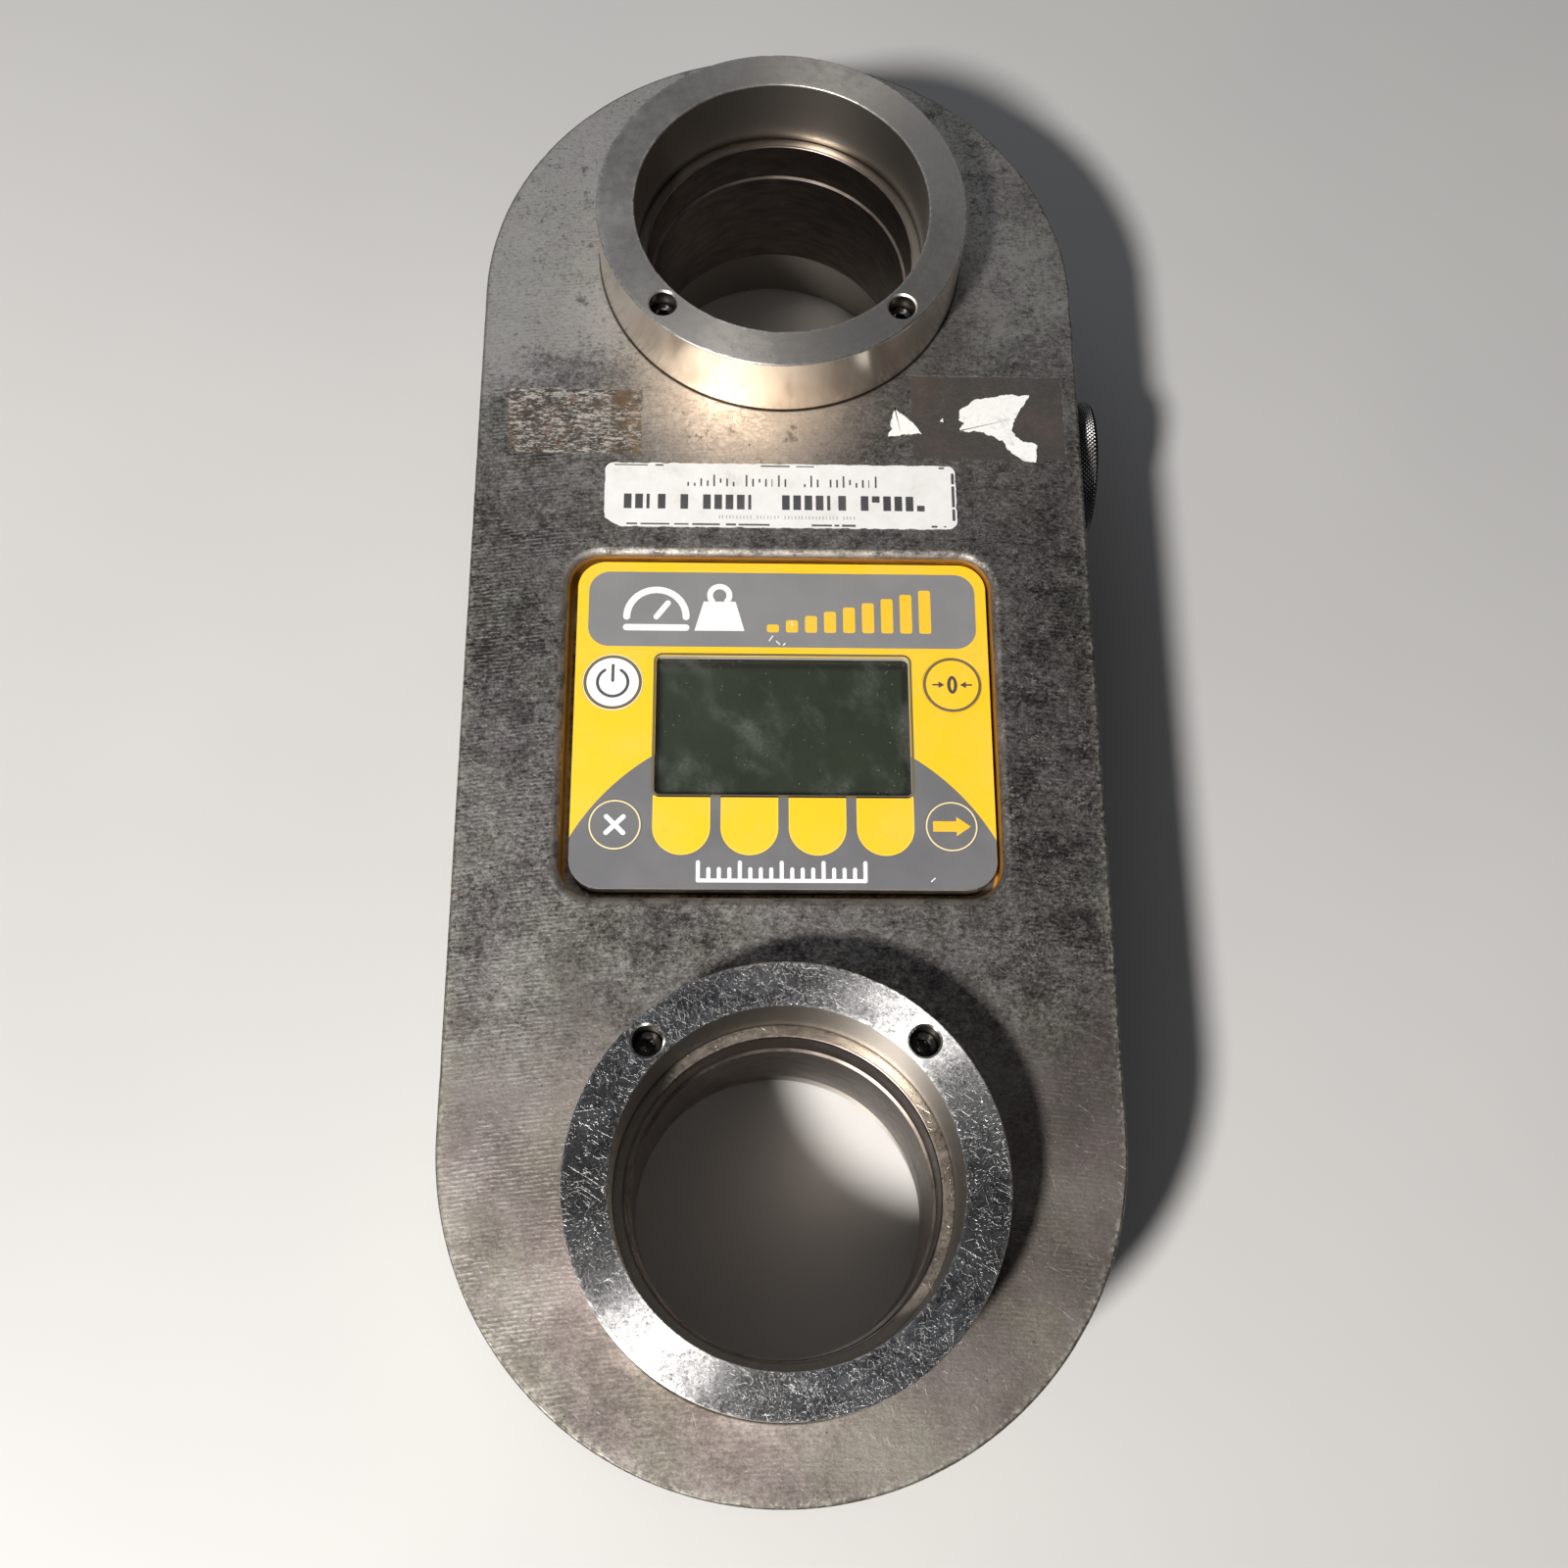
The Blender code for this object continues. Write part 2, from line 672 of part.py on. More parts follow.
def make_panel_plate():
    """The stiff plate behind the keypad, screwed to the pocket's ledge."""
    bottom = PLATE_TOP - PLATE_THICK
    bm = prism(panel_outline(LAYER_INSET), bottom, PLATE_TOP)
    plate = solid("panel_plate", bm, "aluminium", on_panel(0, 0))
    grow = GLASS_WIDTH - DISPLAY_WIDTH + 2 * GAP
    cutters = [display_hole(grow, grow, bottom - CUT_PAST, PLATE_TOP + CUT_PAST)]
    head_depth = M3_HEAD_R - M3_R
    for x, y in panel_screw_places():
        countersink = [
            (0, bottom - CUT_PAST),
            (M3_HOLE_R, bottom - CUT_PAST),
            (M3_HOLE_R, PLATE_TOP - head_depth - GAP),
            (M3_HEAD_R + GAP, PLATE_TOP - GAP),
            (M3_HEAD_R + GAP, PLATE_TOP + CUT_PAST),
            (0, PLATE_TOP + CUT_PAST),
        ]
        cutters.append((turned(countersink, SCREW_SIDES), (x, y, 0)))
    cut(plate, cutters)


def make_panel_screws():
    """Countersunk screws, their flat heads level with the plate."""
    sides = SCREW_SIDES
    head_depth = M3_HEAD_R - M3_R
    for number, (x, y) in enumerate(panel_screw_places(), start=1):
        socket = hexagon(M3_SOCKET, sides // 6)
        sections = [
            at_height(circle(M3_R, sides), -PANEL_SCREW_LENGTH),
            at_height(circle(M3_R, sides), -head_depth),
            at_height(circle(M3_HEAD_R, sides), 0),
            at_height(socket, 0),
            at_height(socket, -1.2 * MM),
        ]
        solid(f"panel_screw_{number}", loft(sections), "screw_steel", (x, y, PLATE_TOP))


def make_gasket():
    bottom = GASKET_TOP - GASKET_THICK
    bm = prism(panel_outline(LAYER_INSET), bottom, GASKET_TOP)
    gasket = solid("panel_gasket", bm, "rubber", on_panel(0, 0))
    inner = rounded_rect(CAVITY_WIDTH + 1 * MM, CAVITY_HEIGHT + 1 * MM, CAVITY_CORNER)
    ends = (bottom - CUT_PAST, GASKET_TOP + CUT_PAST)
    cutters = [(prism(inner, *ends), (POCKET_X, POCKET_Y, 0))]
    for x, y in panel_screw_places():
        cutters.append((prism(circle(M3_HOLE_R, SCREW_SIDES), *ends), (x, y, 0)))
    cut(gasket, cutters)


# ---- electronics -------------------------------------------------------------------------------


def standoff_places():
    signs = ((1, 1), (-1, 1), (-1, -1), (1, -1))
    return [(PANEL_X + sx * STANDOFF_X, PANEL_Y + sy * STANDOFF_Y) for sx, sy in signs]


def make_board():
    """The circuit board under the display, on four standoffs."""
    bottom = BOARD_TOP - BOARD_THICK
    outline = rounded_rect(BOARD_WIDTH, BOARD_HEIGHT, 4 * MM, 2)
    board = solid("circuit_board", prism(outline, bottom, BOARD_TOP), "board_green", on_panel(0, 0))
    ends = (bottom - CUT_PAST, BOARD_TOP + CUT_PAST)
    hole = circle(M3_HOLE_R, SCREW_SIDES)
    cut(board, [(prism(hole, *ends), (x, y, 0)) for x, y in standoff_places()])
    for number, (x, y) in enumerate(standoff_places(), start=1):
        post = [
            (0, GASKET_TOP),
            (STANDOFF_R, GASKET_TOP),
            (STANDOFF_R, BOARD_TOP + GAP),
            (M3_HOLE_R, BOARD_TOP + GAP),
            (M3_HOLE_R, GASKET_TOP - 1.5 * MM),
            (0, GASKET_TOP - 1.5 * MM),
        ]
        solid(f"board_standoff_{number}", turned(post, SCREW_SIDES), "brass", (x, y, 0))
        bm = socket_screw(M3_HEAD_R, 2.2 * MM, M3_R, BOARD_SCREW_LENGTH, M3_SOCKET)
        bmesh.ops.rotate(bm, verts=bm.verts, matrix=Matrix.Rotation(math.pi, 3, "X"))
        solid(f"board_screw_{number}", bm, "screw_steel", (x, y, bottom - GAP))


def make_gauges():
    """A full bridge of foil gauges on the cavity's floor: two along the load and two across."""
    width, length, thick = GAUGE_SIZE
    places = ((-1, -1, 0), (1, -1, 0), (-1, 1, 90), (1, 1, 90))
    for number, (sx, sy, turn) in enumerate(places, start=1):
        size = (width, length) if turn == 0 else (length, width)
        bm = prism(rounded_rect(*size, 0.5 * MM, 1), 0, thick)
        location = (POCKET_X + sx * GAUGE_X, POCKET_Y + sy * GAUGE_Y, CAVITY_FLOOR + FILM_GAP)
        solid(f"strain_gauge_{number}", bm, "brass", location)
    start = (POCKET_X, POCKET_Y, CAVITY_FLOOR + 2 * MM)
    bend = (POCKET_X, POCKET_Y - 8 * MM, CAVITY_FLOOR + 4 * MM)
    end = (POCKET_X, POCKET_Y - 16 * MM, BOARD_TOP - BOARD_THICK - GAP - LEAD_R)
    wire("gauge_lead", [start, bend, end], LEAD_R, "rubber")


# ---- battery tube ------------------------------------------------------------------------------


def tube_piece(name, profile, finish):
    """A turned piece lying along the battery tube; its profile is (radius, x)."""
    return solid(name, to_x_axis(turned(profile, TUBE_STEPS)), finish, (0, TUBE_Y, MID))


def make_cells():
    """Two cells in line, each with a raised contact towards the cap."""
    start = CELL_START
    for name in ("inner_battery_cell", "outer_battery_cell"):
        end = start + CELL_LENGTH
        shoulder = end - CELL_TIP_LENGTH
        profile = [(0, start), (CELL_R - GAP, start), (CELL_R, start + GAP)]
        profile += [(CELL_R, shoulder), (CELL_TIP_R, shoulder), (CELL_TIP_R, end), (0, end)]
        tube_piece(name, profile, "cell_sleeve")
        start = end + GAP
    return start


def make_tube_lining():
    wall = (LINER_R - LINER_WALL, LINER_R)
    near = CELL_START
    far = SIDE - NECK_LENGTH - GAP - 1 * MM
    profile = [(wall[0], near), (wall[1], near), (wall[1], far), (wall[0], far)]
    tube_piece("battery_liner", profile, "black_plastic")
    low = TUBE_END + GAP
    contact = disc_profile(CONTACT_R, low, low + CONTACT_THICK)
    tube_piece("battery_contact", contact, "brass")
    lead_z = FRONT - LEAD_DEPTH
    top = (LEAD_X, TUBE_Y - TUBE_R + 1.5 * MM, lead_z)
    bottom = (LEAD_X, POCKET_Y + CAVITY_HEIGHT / 2 - 1 * MM, lead_z)
    wire("battery_lead", [top, bottom], LEAD_R, "rubber")


def make_spring(start, end):
    """The coil between the outer cell and the cap."""
    steps_per_turn = 8
    count = SPRING_TURNS * steps_per_turn
    points = []
    for i in range(count + 1):
        angle = 2 * math.pi * i / steps_per_turn
        x = start + (end - start) * i / count
        y = TUBE_Y + SPRING_R * math.cos(angle)
        points.append((x, y, MID + SPRING_R * math.sin(angle)))
    wire("battery_spring", points, SPRING_WIRE_R, "brass")


def make_cap():
    """The screw cap: a thin neck that goes into the link, under a wide round head."""
    head_low = SIDE + GAP
    head_high = SIDE + CAP_PROUD
    neck_low = SIDE - NECK_LENGTH
    hollow_top = head_low + CAP_BORE_DEPTH
    edge = 0.6 * MM
    profile = [
        (0, hollow_top),
        (NECK_BORE_R, hollow_top),
        (NECK_BORE_R, neck_low),
        (NECK_R - edge, neck_low),
        (NECK_R, neck_low + edge),
        (NECK_R, head_low),
        (CAP_R - edge, head_low),
        (CAP_R, head_low + edge),
        (CAP_R, head_high - edge),
        (CAP_R - edge, head_high),
        (0, head_high),
    ]
    tube_piece("battery_cap", profile, "cap_steel")
    sides = 6
    seal_x = SIDE - SEAL_SEAT_DEPTH / 2 + FILM_GAP
    seal = [(SEAL_CENTRE_R + x, seal_x + z) for x, z in circle(SEAL_R, sides)]
    tube_piece("cap_seal", seal, "rubber")
    return hollow_top


def make_battery():
    cells_end = make_cells()
    make_tube_lining()
    hollow_top = make_cap()
    clear = GAP + SPRING_WIRE_R
    make_spring(cells_end + clear, hollow_top - clear)


def make_label():
    """The load label on the front face, above the panel."""
    low = FRONT + FILM_GAP
    outline = rounded_rect(LABEL_WIDTH, LABEL_HEIGHT, LABEL_CORNER, 3)
    solid("capacity_label", prism(outline, low, low + LABEL_THICK), "white_film", (0, LABEL_Y, 0))


clear_scene()
FRAME = bpy.data.objects.new("scale_frame", None)
bpy.context.scene.collection.objects.link(FRAME)
FRAME.location = (-CAP_PROUD / 2, 0, 0)

make_link_body()
make_rings()
make_key_layer("keypad_overlay", 0, OVERLAY_TOP, OVERLAY_THICK, "yellow_film")
make_key_layer("keypad_spacer", LAYER_INSET, SPACER_TOP, SPACER_THICK, "clear_plastic")
make_keys()
make_keypad_circuit()
make_display()
make_panel_plate()
make_panel_screws()
make_gasket()
make_board()
make_gauges()
make_battery()
make_label()
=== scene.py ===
"""The looks of the crane scale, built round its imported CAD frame.

Metres, in the frame's own axes: Y runs along the link, and the keypad faces +Z. Every piece is
made in place, so its object coordinates are the frame's coordinates, and a material can find a
pin hole, a label or an edge by where it lies.
"""

import json
import math
import random

import bmesh
import bpy
from mathutils import Matrix, Vector, noise

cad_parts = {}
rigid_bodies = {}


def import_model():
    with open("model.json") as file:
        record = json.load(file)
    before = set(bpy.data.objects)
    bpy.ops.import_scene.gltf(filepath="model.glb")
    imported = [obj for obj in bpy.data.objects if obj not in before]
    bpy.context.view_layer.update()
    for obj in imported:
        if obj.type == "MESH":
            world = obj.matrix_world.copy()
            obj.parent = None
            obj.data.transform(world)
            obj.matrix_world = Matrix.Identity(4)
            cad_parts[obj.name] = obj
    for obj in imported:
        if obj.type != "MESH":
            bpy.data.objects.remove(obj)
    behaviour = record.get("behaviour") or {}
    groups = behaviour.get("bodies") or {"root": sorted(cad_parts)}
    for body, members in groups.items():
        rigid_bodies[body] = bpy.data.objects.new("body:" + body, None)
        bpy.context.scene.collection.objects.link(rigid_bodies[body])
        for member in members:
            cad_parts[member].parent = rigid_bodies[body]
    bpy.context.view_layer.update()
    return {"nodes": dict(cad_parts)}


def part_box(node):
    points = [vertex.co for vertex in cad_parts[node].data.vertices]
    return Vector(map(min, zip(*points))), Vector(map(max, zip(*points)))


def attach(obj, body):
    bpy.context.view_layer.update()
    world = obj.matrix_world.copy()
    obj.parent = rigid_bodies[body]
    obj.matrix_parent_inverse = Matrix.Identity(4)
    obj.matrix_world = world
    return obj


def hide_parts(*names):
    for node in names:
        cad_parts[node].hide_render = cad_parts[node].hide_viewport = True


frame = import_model()

MM = 0.001


def middle(node):
    low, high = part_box(node)
    return (low + high) / 2


# ---- places and sizes, from the frame ----------------------------------------------------------

LINK_LOW, LINK_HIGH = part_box("link_body")
LINK_X = middle("link_body").x
SIDE = (LINK_HIGH.x - LINK_LOW.x) / 2
END_CENTRES = LINK_HIGH.y - LINK_LOW.y - 2 * SIDE
BACK = LINK_LOW.z
FRONT = LINK_HIGH.z
MID = (BACK + FRONT) / 2
UPPER_Y = middle("front_upper_ring").y
LOWER_Y = middle("front_lower_ring").y

RINGS = ("front_upper_ring", "front_lower_ring", "rear_upper_ring", "rear_lower_ring")
RING_LOW, RING_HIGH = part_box("front_upper_ring")
RING_OUTER_R = (RING_HIGH.x - RING_LOW.x) / 2
RING_INNER_R = 39.1 * MM
RING_FILLET = 0.45 * MM
COUNTERBORE_R = 3.5 * MM
COUNTERBORE_DEPTH = 9.6 * MM
LIP = 0.5 * MM
SHANK_R = 2.0 * MM
GAP = 0.3 * MM  # the clearance between neighbouring pieces

PIN_BORE_R = 36.2 * MM
PIN_LAND_R = 35.5 * MM
PIN_LAND_LENGTH = 25.2 * MM
LINK_FILLET = 0.6 * MM

PANEL = middle("keypad_overlay")
PANEL_LOW, PANEL_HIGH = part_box("keypad_overlay")
PANEL_WIDTH = PANEL_HIGH.x - PANEL_LOW.x
PANEL_HEIGHT = PANEL_HIGH.y - PANEL_LOW.y
PANEL_CORNER = 7.2 * MM
PANEL_TOP = PANEL_HIGH.z
FILM_THICK = PANEL_HIGH.z - PANEL_LOW.z
POCKET_X = LINK_X - 0.2 * MM
POCKET_Y = -10.8 * MM
POCKET_WIDTH = 108.2 * MM
POCKET_HEIGHT = 91.2 * MM
POCKET_CORNER = 8.4 * MM
POCKET_RIM = 2.6 * MM
LEDGE_DEPTH = 9.7 * MM
CAVITY_WIDTH = 90 * MM
CAVITY_HEIGHT = 73 * MM
CAVITY_CORNER = 6 * MM
CAVITY_DEPTH = 26 * MM
PANEL_SCREW_HOLE_R = 1.75 * MM
HOLE_SPARE = 1.2 * MM  # how much deeper a hole is than its screw
LEAD_HOLE_R = 2.5 * MM

DISPLAY = middle("display_window")
DISPLAY_WIDTH = 64.2 * MM
DISPLAY_HEIGHT = 37.4 * MM
DISPLAY_CORNER = 1.5 * MM
DISPLAY_BORDER = 0.75 * MM

ROUND_KEYS = ("power_key", "zero_key", "escape_key", "next_key")
SOFT_KEYS = ("soft_key_1", "soft_key_2", "soft_key_3", "soft_key_4")
KEY_CLEARANCE = 0.05 * MM  # between a key and the film round it, too fine to see

CAP_LOW, CAP_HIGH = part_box("battery_cap")
TUBE_Y = middle("battery_cap").y
CAP_R = (CAP_HIGH.y - CAP_LOW.y) / 2
SIDE_FACE = LINK_HIGH.x
NECK_R = 15.0 * MM
NECK_BORE_R = 13.4 * MM
THREAD_PITCH = 2.0 * MM
THREAD_DEPTH = 0.7 * MM
THREAD_CLEARANCE = 0.2 * MM
THREAD_ROWS = 12  # rows of points in each turn
SEAT_R = 18.3 * MM
SEAT_DEPTH = 2.8 * MM
TUBE_R = 14.0 * MM
TUBE_END = LINK_X - 30 * MM
KNURL_TEETH = 104
KNURL_PITCH = 1.15 * MM
KNURL_DEPTH = 0.45 * MM
KNURL_ROWS = 26
CAP_STEPS = 624  # six for each tooth

LABEL_LOW, LABEL_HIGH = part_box("capacity_label")
LABEL = middle("capacity_label")
LABEL_THICK = 0.16 * MM
SCRAPS = (  # outlines of what is left of a torn label, in mm from the link's middle
    ((30.3, 79.8), (28.6, 70.6), (37.8, 71.4), (35.0, 75.4)),
    (
        (48, 78.9), (47.6, 75.9), (48.9, 75), (47.2, 72.2), (53.9, 72.2), (59.4, 68.9), (60.6, 66.7),
        (65.6, 62.8), (67.8, 63.3), (68.7, 68.9), (63.9, 70), (61.7, 72.8), (62.8, 76.1), (65, 80),
        (67.2, 83.7), (60, 84.0), (52.2, 82.2),
    ),
    ((42.6, 75.4), (43.6, 75.1), (44.0, 76.2), (43.1, 76.4)),
)

ZONE_X = PANEL.x - 0.1 * MM  # the circle that bounds the overlay's grey lower part
ZONE_Y = PANEL.y - 60.1 * MM
ZONE_R = 60 * MM

HEADER_Y = PANEL.y + 30.6 * MM
NICKS = (  # (x, y, length) of the nicks in the panel's print, in mm from its middle
    (-3.0, 22.6, 1.6),
    (-1.2, 21.4, 1.2),
    (0.4, 21.0, 0.7),
    (2.4, 26.8, 0.8),
    (36.6, -41.6, 1.3),
)

INK_GAP = 0.005 * MM  # between a printed shape's underside and its film
INK = 0.03 * MM  # how far a printed shape stands over its film
PRINT_TOP = PANEL_TOP + INK
FILM_ROUGHNESS = 0.42
FILM_COLOURS = {
    "yellow": (0.94, 0.56, 0.018),
    "yellow_ink": (0.88, 0.52, 0.03),
    "white": (0.86, 0.87, 0.89),
    "grey": (0.145, 0.146, 0.158),
    # the header's grey is the same print as the lower grey, lightened as painted light
    "header_grey_painted_lighter": (0.205, 0.208, 0.217),
    "dark": (0.055, 0.055, 0.060),
    "faded": (0.45, 0.45, 0.45),
    "pale_yellow": (0.95, 0.64, 0.10),
    "olive": (0.14, 0.115, 0.055),
    "cream": (0.90, 0.74, 0.38),
}

CUT_PAST = 1 * MM  # how far a cutting shape reaches past the face it cuts
ON_AXIS = 1e-6  # the radius that closes a shape along the battery tube at its axis
TURNED_ON_AXIS = 1e-7  # the same for a turned shape
SHARP_ANGLE = math.radians(32)  # edges sharper than this stay sharp in shading


def screws_in(ring):
    """The nodes of the two screws that hold a ring."""
    return [f"{ring}_screw_{number}" for number in (1, 2)]


# ---- materials -----------------------------------------------------------------------------------


def add_node(tree, kind, inputs, **settings):
    """A node whose inputs are linked to sockets or set to values."""
    node = tree.nodes.new(kind)
    for name, setting in settings.items():
        setattr(node, name, setting)
    for socket, value in inputs.items():
        value = value.socket if isinstance(value, Value) else value
        if isinstance(value, bpy.types.NodeSocket):
            tree.links.new(value, node.inputs[socket])
        else:
            node.inputs[socket].default_value = value
    return node


class Value:
    """A number that a material's nodes work out. Reckoning with it adds a node."""

    def __init__(self, look, socket):
        self.look = look
        self.socket = socket

    def __add__(self, other):
        return self.look.maths("ADD", self, other)

    def __sub__(self, other):
        return self.look.maths("SUBTRACT", self, other)

    def __rsub__(self, other):
        return self.look.maths("SUBTRACT", other, self)

    def __mul__(self, other):
        return self.look.maths("MULTIPLY", self, other)

    def __truediv__(self, other):
        return self.look.maths("DIVIDE", self, other)

    def __pow__(self, power):
        return self.look.maths("POWER", self, power)

    def __abs__(self):
        return self.look.maths("ABSOLUTE", self)


class Look:
    """A material being made: a Principled shader and short calls that add nodes to it."""

    def __init__(self, name, colour, roughness, metallic=0.0, **sockets):
        self.material = bpy.data.materials.new(name)
        self.material.use_nodes = True
        self.tree = self.material.node_tree
        self.shader = self.tree.nodes["Principled BSDF"]
        self.shader.inputs["Base Color"].default_value = (*colour, 1)
        self.shader.inputs["Roughness"].default_value = roughness
        self.shader.inputs["Metallic"].default_value = metallic
        for socket, value in sockets.items():
            self.shader.inputs[socket.replace("_", " ")].default_value = value
        self.place = self.node("ShaderNodeTexCoord", {}).outputs["Object"]
        split = self.node("ShaderNodeSeparateXYZ", {0: self.place})
        self.x, self.y, self.z = (Value(self, socket) for socket in split.outputs)

    def node(self, kind, inputs, **settings):
        return add_node(self.tree, kind, inputs, **settings)

    def value(self, kind, inputs, **settings):
        """The first output of a new node, as a number."""
        return Value(self, self.node(kind, inputs, **settings).outputs[0])

    def maths(self, operation, *values):
        return self.value("ShaderNodeMath", dict(enumerate(values)), operation=operation)

    def rise(self, value, low, high):
        """0 at low and 1 at high, with a smooth rise between; low may be the larger."""
        inputs = {"Value": value, "From Min": low, "From Max": high}
        return self.value("ShaderNodeMapRange", inputs, interpolation_type="SMOOTHSTEP")

    def share(self, factor, a, b):
        """A number between the constants a and b."""
        return self.value("ShaderNodeMapRange", {"Value": factor, "To Min": a, "To Max": b})

    def blend(self, factor, a, b):
        """A number between the numbers a and b."""
        return self.value("ShaderNodeMix", {0: factor, 2: a, 3: b})

    def noise(self, size, detail=3.0, rough=0.55, stretch=(1, 1, 1), turn=0.0, shift=0.0, where=None):
        """Noise from 0 to 1 with blobs about size mm across, longer where it is stretched."""
        inputs = {"Vector": where or self.place, "Location": (shift, shift, shift)}
        inputs["Rotation"] = (0, 0, turn)
        inputs["Scale"] = stretch
        warped = self.node("ShaderNodeMapping", inputs, vector_type="TEXTURE").outputs[0]
        inputs = {"Vector": warped, "Scale": 1 / (size * MM), "Detail": detail, "Roughness": rough}
        return self.value("ShaderNodeTexNoise", inputs)

    def specks(self, spacing, radius, shift=0.0):
        """1 inside small round specks strewn about spacing mm apart, 0 outside."""
        inputs = {"Vector": self.place, "Location": (shift, shift, shift)}
        moved = self.node("ShaderNodeMapping", inputs).outputs[0]
        cells = self.node("ShaderNodeTexVoronoi", {"Vector": moved, "Scale": 1 / (spacing * MM)})
        return self.rise(cells.outputs["Distance"], radius / spacing, 0.6 * radius / spacing)

    def flecks(self, size, edge, rise=0.04, stretch=1.0, shift=0.0):
        """1 inside ragged flecks about size mm across. They are fewer where edge is further from 0.5,
        and a negative rise takes the low side of the noise."""
        fine = self.noise(size, 6.0, 0.85, (stretch, 1, 1), shift=shift)
        return self.rise(fine, edge, edge + rise)

    def scratches(self, length, width, sparse, seed):
        """Thin, slightly bent lines in five directions, few of them where sparse is near 1. Their
        length and width are in mm."""
        bend = self.node("ShaderNodeTexNoise", {"Vector": self.place, "Scale": 0.5 / (length * MM)})
        reach = (0.5 * length * MM,) * 3
        inputs = {0: bend.outputs["Color"], 1: reach, 2: self.place}
        bent = self.node("ShaderNodeVectorMath", inputs, operation="MULTIPLY_ADD").outputs[0]
        lines = None
        for number in range(5):
            turn = seed + number * 0.71
            shift = 0.37 * (number + 1) + seed
            streaks = self.noise(width, 1.0, 0.4, (length / width, 1, 1), turn, shift, bent)
            line = self.rise(streaks, sparse, sparse + 0.05)
            lines = line if lines is None else self.maths("MAXIMUM", lines, line)
        return lines

    def colours(self, value, *stops):
        """A colour ramp over value, through (position, colour) stops."""
        ramp = self.node("ShaderNodeValToRGB", {"Fac": value})
        elements = ramp.color_ramp.elements
        elements.remove(elements[1])
        for number, (position, colour) in enumerate(stops):
            element = elements[0] if number == 0 else elements.new(position)
            element.position = position
            element.color = (*colour, 1)
        return ramp.outputs[0]

    def mix(self, factor, a, b):
        """A colour between a and b, each a socket or a colour."""
        inputs = {0: factor}
        for socket, colour in ((6, a), (7, b)):
            inputs[socket] = colour if isinstance(colour, bpy.types.NodeSocket) else (*colour, 1)
        return self.node("ShaderNodeMix", inputs, data_type="RGBA").outputs[2]

    def tint(self, colour, *layers):
        """The colour with tints laid over it: each layer is (mask, strength, tint)."""
        for mask, strength, over in layers:
            colour = self.mix(mask * strength, colour, over)
        return colour

    def distance_from(self, x, y):
        """Distance from the vertical line through (x, y)."""
        dx = self.x - x
        dy = self.y - y
        return self.maths("SQRT", dx * dx + dy * dy)

    def inside(self, left, right, low, high, soft, ragged):
        """1 inside the rectangle and 0 outside; ragged, a number in metres, moves its edge."""
        out_x = abs(self.x - (left + right) / 2) - (right - left) / 2
        out_y = abs(self.y - (low + high) / 2) - (high - low) / 2
        outside = self.maths("MAXIMUM", out_x, out_y) + ragged
        return self.rise(outside, soft, -soft)

    def set(self, socket, value):
        """Feeds the shader's socket with a colour or number from the nodes."""
        source = value.socket if isinstance(value, Value) else value
        self.tree.links.new(source, self.shader.inputs[socket])

    def relief(self, *layers):
        """Bumps: each layer is (height, depth in mm)."""
        normal = None
        for height, depth in layers:
            inputs = {"Height": height, "Distance": depth * MM, "Strength": 1.0}
            if normal is not None:
                inputs["Normal"] = normal
            normal = self.node("ShaderNodeBump", inputs).outputs[0]
        self.set("Normal", normal)


def mottle(look, dark, middle_tone, light, size, shift=0.0):
    """The blotchy tone of handled steel, and the value that it follows."""
    clouds = look.noise(7 * size, 3.0, 0.5, shift=shift)
    blots = look.noise(size, 6.0, 0.68, shift=shift)
    grain = look.noise(0.35, 2.0, 0.6, shift=shift)
    large = clouds * 0.4 + blots * 0.38
    tone = grain * 0.22 + large
    return look.colours(tone, (0.38, dark), (0.50, middle_tone), (0.64, light)), tone


def edge_distance(look):
    """How far a point is outside the link's outline, negative inside."""
    past_end = look.maths("MAXIMUM", abs(look.y) - END_CENTRES / 2, 0.0)
    across = look.x - LINK_X
    return look.maths("SQRT", past_end ** 2 + across ** 2) - SIDE


def mill_marks(look):
    """Fine arcs left by the fly cutter across the face, as a height from 0 to 1."""
    sweep = look.x ** 2 * 0.9
    wander = look.noise(5, 2.0) * (0.8 * MM)
    turns = (look.y + sweep + wander) * (2 * math.pi / (1.05 * MM))
    return look.maths("SINE", turns) * 0.5 + 0.5


def face_tone(look, height, upper_end, upper_left_painted_highlight):
    """Streaky tone of the face: lighter at its upper end, lighter still at its upper left as a painted
    highlight, and darker down its right side.
    """
    layers = (  # (size in mm, weight, stretch)
        (45, 0.30, 1.0),
        (12, 0.36, 1.0),
        (3.4, 0.25, 1.3),
        (1.2, 0.44, 1.4),
        (0.6, 0.42, 1.2),
    )
    tone = 0.5 - sum(weight for _, weight, _ in layers) / 2
    for size, weight, stretch in layers:
        layer = look.noise(size, 6.0, 0.70, (stretch, 1, 1), shift=0.1 * size)
        tone = layer * weight + tone
    right_side = look.rise(look.x, 30 * MM, 58 * MM) * look.rise(height, 96 * MM, 70 * MM)
    right_side = right_side * look.rise(height, -110 * MM, -60 * MM)
    middle_right = look.rise(look.x, 48 * MM, 62 * MM) * look.rise(look.y, 56 * MM, 30 * MM)
    places = (
        (look.rise(look.y, 30 * MM, 60 * MM), 0.044),
        (upper_end, 0.065),
        # painted highlight: the upper left is lightened as the key light's broad sheen
        (upper_left_painted_highlight, 0.105),
        (right_side, -0.038),
        (middle_right, -0.015),
    )
    for mask, change in places:
        tone = mask * change + tone
    return tone


def lower_end_colour(look, tone):
    """The smoother, beige steel of the lower end."""
    bands = look.noise(30, 2.0, 0.5, shift=0.3)
    lower_right = look.rise(look.x, 28 * MM, 66 * MM)
    smooth_tone = bands * 0.5 + tone * 0.5 - lower_right * 0.075
    stops = ((0.38, (0.130, 0.113, 0.104)), (0.48, (0.200, 0.176, 0.163)), (0.59, (0.305, 0.278, 0.259)))
    return look.colours(smooth_tone, *stops)


